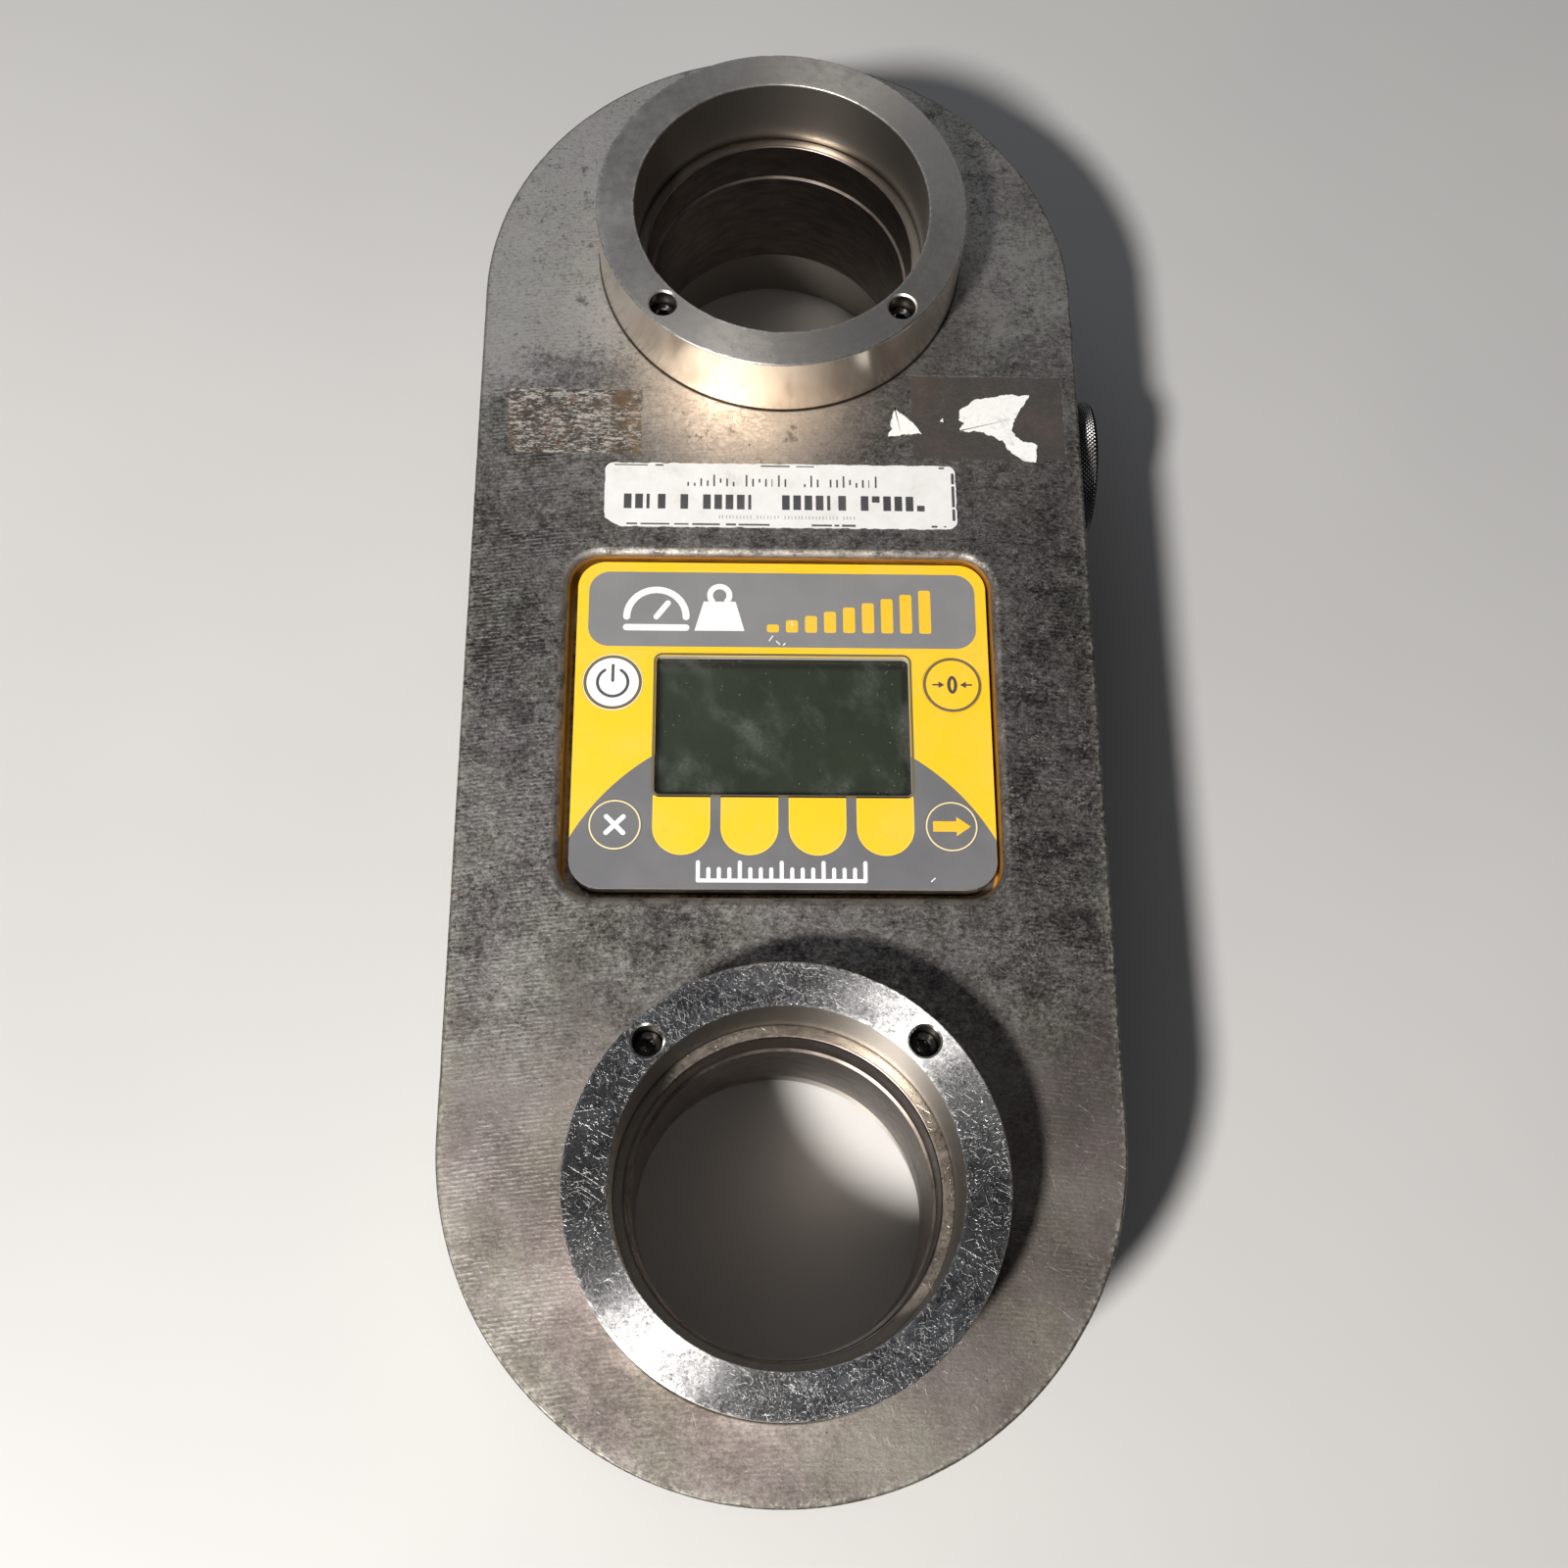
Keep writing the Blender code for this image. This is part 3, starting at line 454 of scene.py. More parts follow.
def milled_face(look):
    """Colour and tone of the link's skin, which is dark and streaky, and where its lower end is,
    which is smoother and beige. A painted highlight lightens the upper left, and a painted pool
    of light, the upper ring's wall reflected onto the face, lies in front of that ring's foot."""
    height = look.y + (look.noise(28, 4.0) - 0.5) * (60 * MM)
    lower_end = look.rise(height, -66 * MM, -112 * MM)
    upper_end = look.rise(height, 78 * MM, 112 * MM)
    # where a painted highlight lightens the face
    upper_left_painted_highlight = upper_end * look.rise(look.x, 70 * MM, -35 * MM)
    tone = face_tone(look, height, upper_end, upper_left_painted_highlight)
    from_mid = abs(look.z - MID)
    side = look.rise(from_mid, FRONT - MID - 0.3 * MM, FRONT - MID - 0.9 * MM)
    streaks = look.noise(0.7, 4.0, 0.7, (16, 16, 1))
    tone = look.blend(side, tone, streaks * 0.42 + tone * 0.55 + 0.03)
    stops = ((0.37, (0.028, 0.025, 0.025)), (0.45, (0.092, 0.085, 0.083)), (0.53, (0.205, 0.195, 0.189)))
    skin = look.colours(tone, *stops, (0.68, (0.56, 0.54, 0.515)))
    colour = look.mix(lower_end * 0.92, skin, lower_end_colour(look, tone))
    hue = look.noise(17, 4.0, 0.6, shift=0.4)
    tints = ((0.36, (0.46, 0.52, 0.42)), (0.50, (0.5, 0.5, 0.5)), (0.64, (0.52, 0.47, 0.53)))
    inputs = {0: 0.4, 6: colour, 7: look.colours(hue, *tints)}
    colour = look.node("ShaderNodeMix", inputs, data_type="RGBA", blend_type="SOFT_LIGHT").outputs[2]

    broad = look.rise(look.noise(11, 5.0, 0.65, shift=0.5), 0.40, 0.60)
    calm = look.share(lower_end, 1.0, 0.18) * look.share(side, 1.0, 0.25)
    light = look.flecks(0.9, 0.555, stretch=1.3, shift=0.3)
    light = light * look.share(broad, 0.1, 0.55) * calm
    # pale flecks only at the upper left, part of its painted highlight
    pale = look.flecks(1.2, 0.47, 0.08, 1.5, 0.9) * look.share(broad, 0.3, 0.75) * upper_left_painted_highlight
    pits = look.flecks(1.1, 0.448, -0.035, 1.2, 0.8) * look.share(broad, 0.65, 0.3) * calm
    # painted light: a pool of key light reflected off the upper ring's wall, painted beige on the face
    # before its foot
    from_painted_glow = look.distance_from(LINK_X - 10 * MM, UPPER_Y - 46 * MM)
    painted_reflected_glow = look.rise(from_painted_glow - look.noise(9, 5.0, 0.6) * (14 * MM), 34 * MM, 2 * MM)
    colour = look.tint(
        colour,
        (light, 1, (0.60, 0.59, 0.57)),
        (pale, 1, (0.66, 0.64, 0.61)),
        (pits, 1, (0.022, 0.019, 0.019)),
        (painted_reflected_glow, 0.82, (0.74, 0.64, 0.55)),
    )
    return colour, tone, lower_end


def outside_pocket(look):
    """How far a point is outside the panel pocket, negative inside."""
    across = abs(look.x - POCKET_X) - (POCKET_WIDTH / 2 - POCKET_CORNER)
    along = abs(look.y - POCKET_Y) - (POCKET_HEIGHT / 2 - POCKET_CORNER)
    past_x = look.maths("MAXIMUM", across, 0.0)
    past_y = look.maths("MAXIMUM", along, 0.0)
    return look.maths("SQRT", past_x ** 2 + past_y ** 2) - POCKET_CORNER


def pocket_rim(look, colour):
    """Lighter bare metal on the pocket's rounded rim, partly a painted highlight and faint down its
    right side, and a painted orange reflection of the yellow film down its wall.
    """
    outside = outside_pocket(look)
    # lighter bare metal on the rim, partly a painted highlight, and only a quarter as light down the
    # right side as painted shade
    rim = look.rise(outside, 2.6 * MM, 1.6 * MM) * look.rise(outside, 0.3 * MM, 0.8 * MM)
    patchy = look.rise(look.noise(5, 5.0, 0.7, shift=0.1), 0.40, 0.60)
    left = look.share(look.rise(look.x, POCKET_X + 54 * MM, POCKET_X + 40 * MM), 0.25, 1.0)
    colour = look.mix(rim * left * look.share(patchy, 0.1, 0.7), colour, (0.46, 0.42, 0.37))
    # painted reflection: the yellow film's orange glint down the pocket wall
    deep = look.rise(look.z, FRONT - 0.9 * MM, FRONT - 2.2 * MM)
    near = look.rise(outside, 1.5 * MM, 0.9 * MM) * look.rise(outside, -1 * MM, -0.2 * MM)
    return look.mix(deep * near, colour, (0.66, 0.37, 0.08))


def worn_edges(look, colour):
    """Chipped, lighter metal along the link's outline, and a thin line of painted shade on its rounded
    edge.
    """
    outside = edge_distance(look)
    chips = look.rise(look.noise(1.3, 4.0, 0.65), 0.47, 0.60)
    strip = look.rise(outside, -3.2 * MM, -0.3 * MM)
    colour = look.mix(strip * chips * look.share(strip, 0.3, 0.8), colour, (0.42, 0.42, 0.36))
    # painted shade: a dark line where the rounded edge turns away from the light
    line = look.rise(outside, -0.9 * MM, -0.6 * MM) * look.rise(outside, -0.05 * MM, -0.3 * MM)
    return look.mix(line * 0.35, colour, (0.06, 0.055, 0.05))


def rough_glue(look):
    """Brown glue with light flecks along it, rust spots and an amber right end."""
    flecks = look.flecks(0.7, 0.505, stretch=3.2)
    flecks = flecks * look.rise(look.noise(6, 3.0), 0.34, 0.5)
    stops = ((0.38, (0.022, 0.018, 0.015)), (0.6, (0.085, 0.068, 0.053)))
    brown = look.colours(look.noise(5, 5.0, 0.7), *stops)
    rust = look.rise(look.noise(3.2, 4.0, 0.7, (1, 1.8, 1), shift=0.2), 0.54, 0.66)
    amber = look.rise(look.x, LINK_X - 49 * MM, LINK_X - 40 * MM)
    amber = amber * look.rise(look.noise(4, 4.0), 0.35, 0.6)
    return look.tint(
        brown,
        (flecks, 0.85, (0.62, 0.59, 0.55)),
        (rust, 0.6, (0.11, 0.042, 0.014)),
        (amber, 0.45, (0.22, 0.135, 0.06)),
    )


def smooth_glue(look):
    """Dark, even glue with a few lighter spots."""
    stops = ((0.3, (0.036, 0.033, 0.031)), (0.5, (0.050, 0.043, 0.039)), (0.7, (0.070, 0.048, 0.044)))
    smooth = look.colours(look.noise(16, 4.0), *stops)
    spotted = look.rise(look.noise(1.1, 4.0, 0.7), 0.60, 0.68)
    return look.mix(spotted * 0.25, smooth, (0.16, 0.15, 0.14))


def old_labels(look, front, colour):
    """Glue left where two labels were: brown and flecked on the left, smooth on the right."""
    fray = (look.noise(2.2, 3.0) - 0.5) * (1.6 * MM)
    left = look.inside(LINK_X - 72.2 * MM, LINK_X - 36.7 * MM, 64.4 * MM, 83.9 * MM, 0.25 * MM, fray)
    right = look.inside(LINK_X + 35.0 * MM, LINK_X + 76.0 * MM, 63.9 * MM, 89.4 * MM, 0.3 * MM, fray)
    left = left * front * look.rise(look.noise(2.4, 5.0, 0.7), 0.3, 0.46)
    right = right * front
    colour = look.mix(left * 0.92, colour, rough_glue(look))
    colour = look.mix(right * 0.93, colour, smooth_glue(look))
    return colour, left, right


def cutter_lines(look, front, marks, colour):
    """Light crests and dark hollows of the mill marks, strongest down the left side."""
    left_strip = look.rise(look.x, LINK_X - 34 * MM, LINK_X - 66 * MM)
    patchy = look.rise(look.noise(14, 4.0, 0.6), 0.40, 0.58)
    milled = front * look.share(left_strip, 0.3, 1.0) * look.share(patchy, 0.25, 1.0)
    crests = milled * look.rise(marks, 0.45, 0.85)
    crests = crests * look.flecks(0.9, 0.49, stretch=2.5, shift=0.6)
    hollows = milled * look.rise(marks, 0.5, 0.1)
    hollows = hollows * look.flecks(1.4, 0.5, stretch=3.0, shift=0.2)
    layers = ((crests, 0.42, (0.6, 0.59, 0.57)), (hollows, 0.22, (0.05, 0.045, 0.045)))
    return look.tint(colour, *layers), milled


def bores_and_seats(look, front, tone, colour):
    """Polished pin bores, the turned seats under the rings and a dark line of painted shade in the
    crevice round their feet.
    """
    from_upper = look.distance_from(LINK_X, UPPER_Y)
    from_lower = look.distance_from(LINK_X, LOWER_Y)
    from_pin = look.maths("MINIMUM", from_upper, from_lower)
    bore = look.rise(from_pin, PIN_BORE_R + 0.9 * MM, PIN_BORE_R + 0.5 * MM)
    bore_tone = look.noise(7, 4.0, 0.6, (1, 1, 0.25))
    bore_stops = ((0.35, (0.17, 0.142, 0.125)), (0.65, (0.27, 0.232, 0.208)))
    colour = look.mix(bore, colour, look.colours(bore_tone, *bore_stops))
    under_ring = look.rise(from_pin, RING_OUTER_R + 0.2 * MM, RING_OUTER_R - 0.2 * MM)
    seat = under_ring * (1 - bore) * front
    colour = look.mix(seat, colour, (0.55, 0.49, 0.42))
    # painted shade: a dark line in the crevice where each ring meets the face
    foot = look.rise(abs(from_pin - RING_OUTER_R), 0.7 * MM, 0.2 * MM)
    dark_line = foot * front * look.share(tone, 0.9, 0.6)
    return look.mix(dark_line, colour, (0.02, 0.017, 0.015)), bore, seat


def link_steel():
    """The link: streaky milled steel, polished bores, turned seats and the glue of old labels."""
    look = Look("worn_link_steel", (0.3, 0.28, 0.26), 0.6, 1.0)
    colour, tone, lower_end = milled_face(look)
    front = look.rise(look.z, FRONT - 0.5 * MM, FRONT - 0.2 * MM)
    marks = mill_marks(look)
    colour, milled = cutter_lines(look, front, marks, colour)
    scratched = look.scratches(24, 0.16, 0.76, 0.4)
    dark_lines = look.scratches(9, 0.20, 0.73, 3.1)
    stains = look.rise(look.noise(7, 5.0, 0.7, shift=0.9), 0.6, 0.7) * (1 - lower_end)
    rust = look.specks(21, 1.3) * look.rise(look.noise(1.6), 0.45, 0.6)
    dirt = look.specks(6, 0.30, 0.3)
    colour = look.tint(
        colour,
        (scratched, 0.6, (0.62, 0.61, 0.59)),
        (dark_lines, 0.55, (0.04, 0.035, 0.033)),
        (stains, 0.6, (0.035, 0.032, 0.032)),
        (rust, 1, (0.11, 0.045, 0.02)),
        (dirt, 0.8, (0.03, 0.025, 0.02)),
    )
    colour = pocket_rim(look, worn_edges(look, colour))
    colour, bore, seat = bores_and_seats(look, front, tone, colour)
    colour, left_glue, right_glue = old_labels(look, front, colour)
    look.set("Base Color", colour)
    glued = look.maths("MAXIMUM", left_glue * 0.6, right_glue * 0.85)
    look.set("Metallic", 1 - look.maths("MAXIMUM", glued, rust))
    rough = look.share(look.rise(tone, 0.40, 0.62), 0.70, 0.50) - lower_end * 0.06
    polished = look.maths("MAXIMUM", bore * 0.55, seat * 0.6)
    look.set("Roughness", rough * look.share(polished, 1.0, 0.3))

    plain = (1 - glued) * (1 - bore) * (1 - seat)
    look.relief(
        (look.noise(0.7, 5.0, 0.75) * plain, 0.05),
        (look.noise(4, 4.0) * plain, 0.09),
        (milled * marks * plain, 0.01),
        (scratched, -0.012),
    )
    return look.material


def over_radius(look, x, y):
    """Coordinates that change only along the radius from (x, y) and with height, and the radius."""
    radius = look.distance_from(x, y)
    return look.node("ShaderNodeCombineXYZ", {0: radius, 2: look.z}).outputs[0], radius


def ring_face(look, lathe, silvery):
    """Colour and tone of a ring's face: lathe lines, and where it is silvery, scuffs."""
    if silvery:
        tones = ((0.09, 0.09, 0.096), (0.31, 0.31, 0.32), (0.76, 0.76, 0.78))
    else:
        tones = ((0.38, 0.362, 0.340), (0.46, 0.437, 0.411), (0.55, 0.524, 0.493))
    colour, tone = mottle(look, *tones, size=1.3 if silvery else 2.6, shift=0.7)
    colour = look.mix(look.rise(lathe, 0.5, 0.65) * 0.12, colour, (0.8, 0.8, 0.8))
    if silvery:
        scuffs = look.flecks(0.8, 0.545) * look.rise(look.noise(9, 4.0), 0.38, 0.6)
        worn = look.flecks(1.0, 0.455, -0.04, shift=0.4)
        layers = ((scuffs, 0.55, (0.85, 0.85, 0.86)), (worn, 0.6, (0.05, 0.05, 0.055)))
        colour = look.tint(colour, *layers)
    return colour, tone


def ring_wall(look, inner, face):
    """Colour of a ring's walls: satin outside, darker inside as painted shade, and near black at the
    inner one's foot as more painted shade.
    """
    stops = ((0.35, (0.74, 0.66, 0.565)), (0.65, (0.84, 0.76, 0.66)))
    colour = look.colours(look.noise(20, 3.0), *stops)
    # painted shade: the inner wall, down in the hole, is darkened
    colour = look.mix(inner, colour, (0.42, 0.385, 0.35))
    # painted shade: near black at the inner wall's foot, where ring and bore meet
    painted_inner_foot_shade = look.rise(abs(look.z - face), 18 * MM, 21.5 * MM)
    return look.mix(inner * painted_inner_foot_shade, colour, (0.05, 0.042, 0.036))


def ring_screw_bores(look, node, on_face, silvery, colour):
    """Painted highlights on the lips round the sunk screws, and painted shade on the walls below them.
    """
    # painted shade down the counterbores, lighter on the grey rings
    painted_bore_shade = (0.10, 0.075, 0.06) if silvery else (0.36, 0.31, 0.27)
    for screw in screws_in(node):
        place = middle(screw)
        from_screw = look.distance_from(place.x, place.y)
        bore = look.rise(from_screw, COUNTERBORE_R + 0.10 * MM, COUNTERBORE_R - 0.05 * MM)
        # painted highlight on the chamfered lip
        lip = look.rise(from_screw, COUNTERBORE_R + LIP + 0.2 * MM, COUNTERBORE_R + LIP - 0.1 * MM)
        colour = look.mix(lip * 0.6, colour, (0.75, 0.74, 0.72))
        colour = look.mix(bore * (1 - on_face), colour, painted_bore_shade)
    return colour


def ring_steel(node, silvery):
    """A turned ring: lathe lines, a scuffed face with light nicked edges, partly painted highlight, and
    a satin outer wall.
    """
    low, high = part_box(node)
    centre = (low + high) / 2
    front = centre.z > MID
    face = high.z if front else low.z
    streaking = 0.96 if silvery else 0.6
    sockets = {"Anisotropic": streaking, "Anisotropic_Rotation": 0.25}
    look = Look(node + "_steel", (0.5, 0.48, 0.45), 0.3, 1.0, **sockets)
    tangent = look.node("ShaderNodeTangent", {}, direction_type="RADIAL", axis="Z")
    look.set("Tangent", tangent.outputs[0])
    polar, radius = over_radius(look, centre.x, centre.y)
    inwards = face - 0.6 * MM if front else face + 0.6 * MM
    on_face = look.rise(look.z, inwards, (inwards + face) / 2)
    lathe = look.noise(0.22, 2.0, 0.6, where=polar)
    face_colour, tone = ring_face(look, lathe, silvery)
    inner = look.rise(radius, RING_INNER_R + 0.5 * MM, RING_INNER_R + 0.2 * MM)
    colour = look.mix(on_face, ring_wall(look, inner, face), face_colour)

    scratched = look.scratches(9, 0.12, 0.695 if silvery else 0.77, 1.9) * on_face
    nicks = look.rise(look.noise(1.1, 4.0, 0.7), 0.44, 0.58)
    # nicked bare metal along the face's edges, partly a painted highlight where the rounded edges catch
    # the light
    edge = look.maths(
        "MAXIMUM",
        look.rise(radius, RING_INNER_R + 1.0 * MM, RING_INNER_R + 0.3 * MM),
        look.rise(radius, RING_OUTER_R - 1.2 * MM, RING_OUTER_R - 0.3 * MM),
    )
    nicked_edge_highlight = edge * on_face * nicks * (0.8 if silvery else 0.5)
    specks = look.specks(5.5, 0.20, 0.9)
    colour = look.tint(
        colour,
        (scratched, 0.5, (0.8, 0.8, 0.8)),
        (nicked_edge_highlight, 1, (0.82, 0.81, 0.80)),
        (specks, 0.8, (0.04, 0.035, 0.03)),
    )
    look.set("Base Color", ring_screw_bores(look, node, on_face, silvery, colour))
    face_rough = look.share(look.rise(tone, 0.40, 0.62), 0.54, 0.38)
    wall_rough = look.share(inner, 0.24, 0.37)
    look.set("Roughness", look.blend(on_face, wall_rough, face_rough) - nicked_edge_highlight * 0.08)
    look.relief(
        (look.noise(0.9, 4.0, 0.65) * on_face, 0.018),
        (lathe, 0.0025),
        (scratched, -0.01),
    )
    return look.material


def simple_steel(name, colour, roughness, size=1.5):
    """Bare metal of one colour, in the blotchy tones of handled steel."""
    look = Look(name, colour, roughness, 1.0)
    dark = tuple(0.45 * part for part in colour)
    light = tuple(min(1.0, 1.5 * part) for part in colour)
    shade, tone = mottle(look, dark, colour, light, size)
    look.set("Base Color", shade)
    look.set("Roughness", look.share(tone, roughness + 0.15, roughness - 0.05))
    look.relief((look.noise(0.5, 4.0), 0.01))
    return look.material


def film_surface(look, colour):
    """Printed polyester film: nearly even colour, a fine texture, dust and a few scuffs."""
    shade = look.noise(14, 3.0)
    faded = look.mix(0.06, colour, (0.5, 0.5, 0.5))
    tint = look.mix(look.rise(shade, 0.35, 0.7), colour, faded)
    stained = look.rise(look.noise(5, 5.0, 0.7), 0.58, 0.75)
    grime = stained * look.rise(shade, 0.45, 0.6)
    dust = look.specks(7, 0.09, 0.5)
    scuffs = look.scratches(6, 0.06, 0.80, 2.3)
    tint = look.tint(
        tint,
        (grime, 0.14, (0.16, 0.13, 0.09)),
        (dust, 0.5, (0.75, 0.73, 0.7)),
        (scuffs, 0.18, (0.8, 0.79, 0.76)),
    )
    look.set("Base Color", tint)
    look.set("Roughness", look.share(shade, FILM_ROUGHNESS - 0.06, FILM_ROUGHNESS + 0.08))
    look.relief((look.noise(0.18, 2.0), 0.003), (scuffs, -0.003))


def cap_steel():
    """Bright steel, darker deep in the grooves of the knurling and round the face's edge, and turning
    marks on the face.
    """
    look = Look("cap_steel_knurled", (0.5, 0.5, 0.5), 0.3, 1.0)
    shade, tone = mottle(look, (0.28, 0.28, 0.29), (0.46, 0.46, 0.47), (0.66, 0.66, 0.67), 2)
    radius = look.maths("SQRT", (look.z - MID) ** 2 + (look.y - TUBE_Y) ** 2)
    rim = look.rise(radius, CAP_R - 1.2 * MM, CAP_R - 0.7 * MM)
    # darker wherever the surface lies deep under the knurl's points
    groove = rim * look.rise(radius, CAP_R - 0.1 * MM, CAP_R - 0.26 * MM)
    look.set("Base Color", look.mix(groove * 0.92, shade, (0.02, 0.018, 0.016)))
    look.set("Roughness", look.share(tone, 0.45, 0.28))
    rings = look.node("ShaderNodeCombineXYZ", {0: radius}).outputs[0]
    look.relief((look.noise(0.35, 2.0, 0.6, where=rings), 0.015))
    return look.material


def printed_film(name, colour):
    """Film printed in one colour."""
    look = Look(name, colour, FILM_ROUGHNESS, Coat_Weight=0.1, Coat_Roughness=0.25)
    film_surface(look, colour)
    return look.material


def overlay_film():
    """The overlay is yellow, with a grey lower part inside a large circle."""
    yellow, grey = FILM_COLOURS["yellow"], FILM_COLOURS["grey"]
    look = Look("overlay_print", yellow, FILM_ROUGHNESS, Coat_Weight=0.1, Coat_Roughness=0.25)
    radius = look.distance_from(ZONE_X, ZONE_Y)
    inside = look.rise(radius, ZONE_R + 0.05 * MM, ZONE_R - 0.05 * MM)
    film_surface(look, look.mix(inside, yellow, grey))
    return look.material


def window_plastic():
    """The clear window, with finger marks and dust on it."""
    look = Look("window_plastic", (0.30, 0.33, 0.29), 0.08, 0.0, Alpha=0.2, IOR=1.45)
    smears = look.rise(look.noise(11, 6.0, 0.6, (1, 1.5, 1), 0.5), 0.50, 0.74)
    fine = look.rise(look.noise(0.8, 4.0, 0.75), 0.45, 0.75)
    dust = look.specks(2.8, 0.17, 0.2)
    film = smears * look.share(fine, 0.3, 1.0)
    cover = look.maths("MAXIMUM", look.share(film, 0.02, 0.3), dust * 0.7)
    look.set("Alpha", cover)
    look.set("Roughness", look.share(film, 0.06, 0.35))
    return look.material


def display_face():
    """The unlit display: dark olive, near black round its rim as painted shade under the window's edge,
    with faint upright lines.
    """
    look = Look("display_face", (0.018, 0.024, 0.014), 0.25, Coat_Weight=0.4, Coat_Roughness=0.1)
    half_width, half_height = DISPLAY_WIDTH / 2, DISPLAY_HEIGHT / 2
    ragged = look.noise(4) * (0.5 * MM)
    # painted shade: the display is near black round its rim, where the window's edge shades it
    inside_painted_rim_shade = look.inside(
        DISPLAY.x - half_width + 1.5 * MM,
        DISPLAY.x + half_width - 1.5 * MM,
        DISPLAY.y - half_height + 1.5 * MM,
        DISPLAY.y + half_height - 2.2 * MM,
        0.5 * MM,
        ragged,
    )
    tone = look.noise(16, 3.0)
    green = look.colours(tone, (0.3, (0.010, 0.017, 0.008)), (0.7, (0.019, 0.027, 0.014)))
    lines = look.maths("SINE", look.x * (2 * math.pi / (0.5 * MM)))
    green = look.mix(look.rise(lines, 0.6, 1.0) * 0.08, green, (0.05, 0.06, 0.04))
    look.set("Base Color", look.mix(inside_painted_rim_shade, (0.006, 0.006, 0.004), green))
    return look.material


def label_paper():
    """A worn white vinyl label."""
    look = Look("label_paper", (0.88, 0.88, 0.88), 0.5, Coat_Weight=0.1)
    stain = look.noise(9, 5.0, 0.68)
    stops = ((0.30, (0.62, 0.60, 0.57)), (0.42, (0.72, 0.72, 0.72)), (0.6, (0.77, 0.77, 0.78)))
    paper = look.colours(stain, *stops)
    rubbed = look.rise(look.noise(3, 5.0, 0.7, (1, 2.2, 1), 0.7), 0.60, 0.68)
    paper = look.mix(rubbed * 0.35, paper, (0.72, 0.71, 0.69))
    specks = look.specks(4, 0.13, 0.6)
    look.set("Base Color", look.mix(specks * 0.6, paper, (0.15, 0.12, 0.1)))
    look.set("Roughness", look.share(stain, 0.6, 0.42))
    look.relief((look.noise(2.5, 4.0), 0.04))
    return look.material


def torn_paper():
    """What is left of a torn label: fluffy white backing with grey creases."""
    look = Look("torn_paper", (0.85, 0.85, 0.85), 0.7)
    fibre = look.noise(0.8, 5.0, 0.7, (3, 1, 1), 0.8)
    crease = look.rise(look.noise(5, 4.0, 0.6), 0.55, 0.7)
    white = look.colours(fibre, (0.3, (0.74, 0.74, 0.75)), (0.5, (0.86, 0.86, 0.86)))
    look.set("Base Color", look.mix(crease * 0.35, white, (0.45, 0.45, 0.46)))
    look.relief((fibre, 0.08), (crease, 0.1))
    return look.material


def moulded_plastic(name, colour, roughness=0.5):
    """Plastic or rubber of one colour with a fine grain."""
    look = Look(name, colour, roughness)
    shade = look.noise(8, 3.0)
    darker = tuple(0.75 * part for part in colour)
    look.set("Base Color", look.mix(shade, darker, colour))
    look.set("Roughness", look.share(look.noise(1.5), roughness - 0.08, roughness + 0.1))
    look.relief((look.noise(0.25, 3.0), 0.01))
    return look.material


def board_resin():
    """Green solder mask with copper tracks under it and tinned pads."""
    look = Look("board_resin", (0.02, 0.13, 0.05), 0.35, Coat_Weight=0.5, Coat_Roughness=0.15)
    along = look.maths("FRACT", look.x * (1 / (1.6 * MM)))
    across = look.maths("FRACT", look.y * (1 / (1.6 * MM)))
    run_x = look.rise(look.noise(9, 1.0, stretch=(3, 0.3, 1)), 0.50, 0.53)
    run_y = look.rise(look.noise(9, 1.0, stretch=(0.3, 3, 1), shift=0.3), 0.52, 0.55)
    tracks_x = look.rise(across, 0.35, 0.3) * run_x
    tracks_y = look.rise(along, 0.35, 0.3) * run_y
    lines = look.maths("MAXIMUM", tracks_x, tracks_y)
    green = look.mix(lines, (0.008, 0.075, 0.03), (0.03, 0.20, 0.07))
    pads = look.specks(4.2, 0.5, 0.1)
    look.set("Base Color", look.mix(pads, green, (0.62, 0.60, 0.55)))
    look.set("Metallic", pads)
    look.relief((lines, 0.03), (pads, 0.05))
    return look.material


def foil_gauge():
    """A strain gauge: a copper foil grid on amber polyimide."""
    look = Look("foil_gauge", (0.45, 0.2, 0.04), 0.35)
    grid = look.maths("SINE", look.x * (2 * math.pi / (0.5 * MM)))
    foil = look.rise(grid, -0.1, 0.1) * look.rise(look.noise(12), 0.3, 0.4)
    look.set("Base Color", look.mix(foil, (0.50, 0.22, 0.04), (0.72, 0.45, 0.30)))
    look.set("Metallic", foil * 0.8)
    look.relief((foil, 0.02))
    return look.material


def cell_wrap():
    """A battery's shrink sleeve: two plain bands of colour, a little worn."""
    look = Look("cell_wrap", (0.06, 0.06, 0.07), 0.3, Coat_Weight=0.5)
    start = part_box("inner_battery_cell")[0].x
    cell_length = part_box("outer_battery_cell")[0].x - start
    along = look.maths("FRACT", (look.x - start) / cell_length)
    lit_band = look.rise(along, 0.70, 0.705)
    wear = look.noise(3, 4.0)
    sleeve = look.mix(lit_band, (0.045, 0.047, 0.055), (0.55, 0.30, 0.10))
    look.set("Base Color", look.mix(wear * 0.3, sleeve, (0.15, 0.14, 0.13)))
    look.set("Roughness", look.share(wear, 0.22, 0.45))
    look.relief((look.noise(1.2, 3.0), 0.02))
    return look.material


# ---- outlines and meshes -------------------------------------------------------------------------


def arc(x, y, radius, start, end, steps):
    """Points on an arc from start to end, in degrees, both ends included."""
    angles = [math.radians(start + (end - start) * i / steps) for i in range(steps + 1)]
    return [(x + radius * math.cos(a), y + radius * math.sin(a)) for a in angles]


def circle(radius, steps, x=0.0, y=0.0):
    return arc(x, y, radius, 0, 360, steps)[:-1]


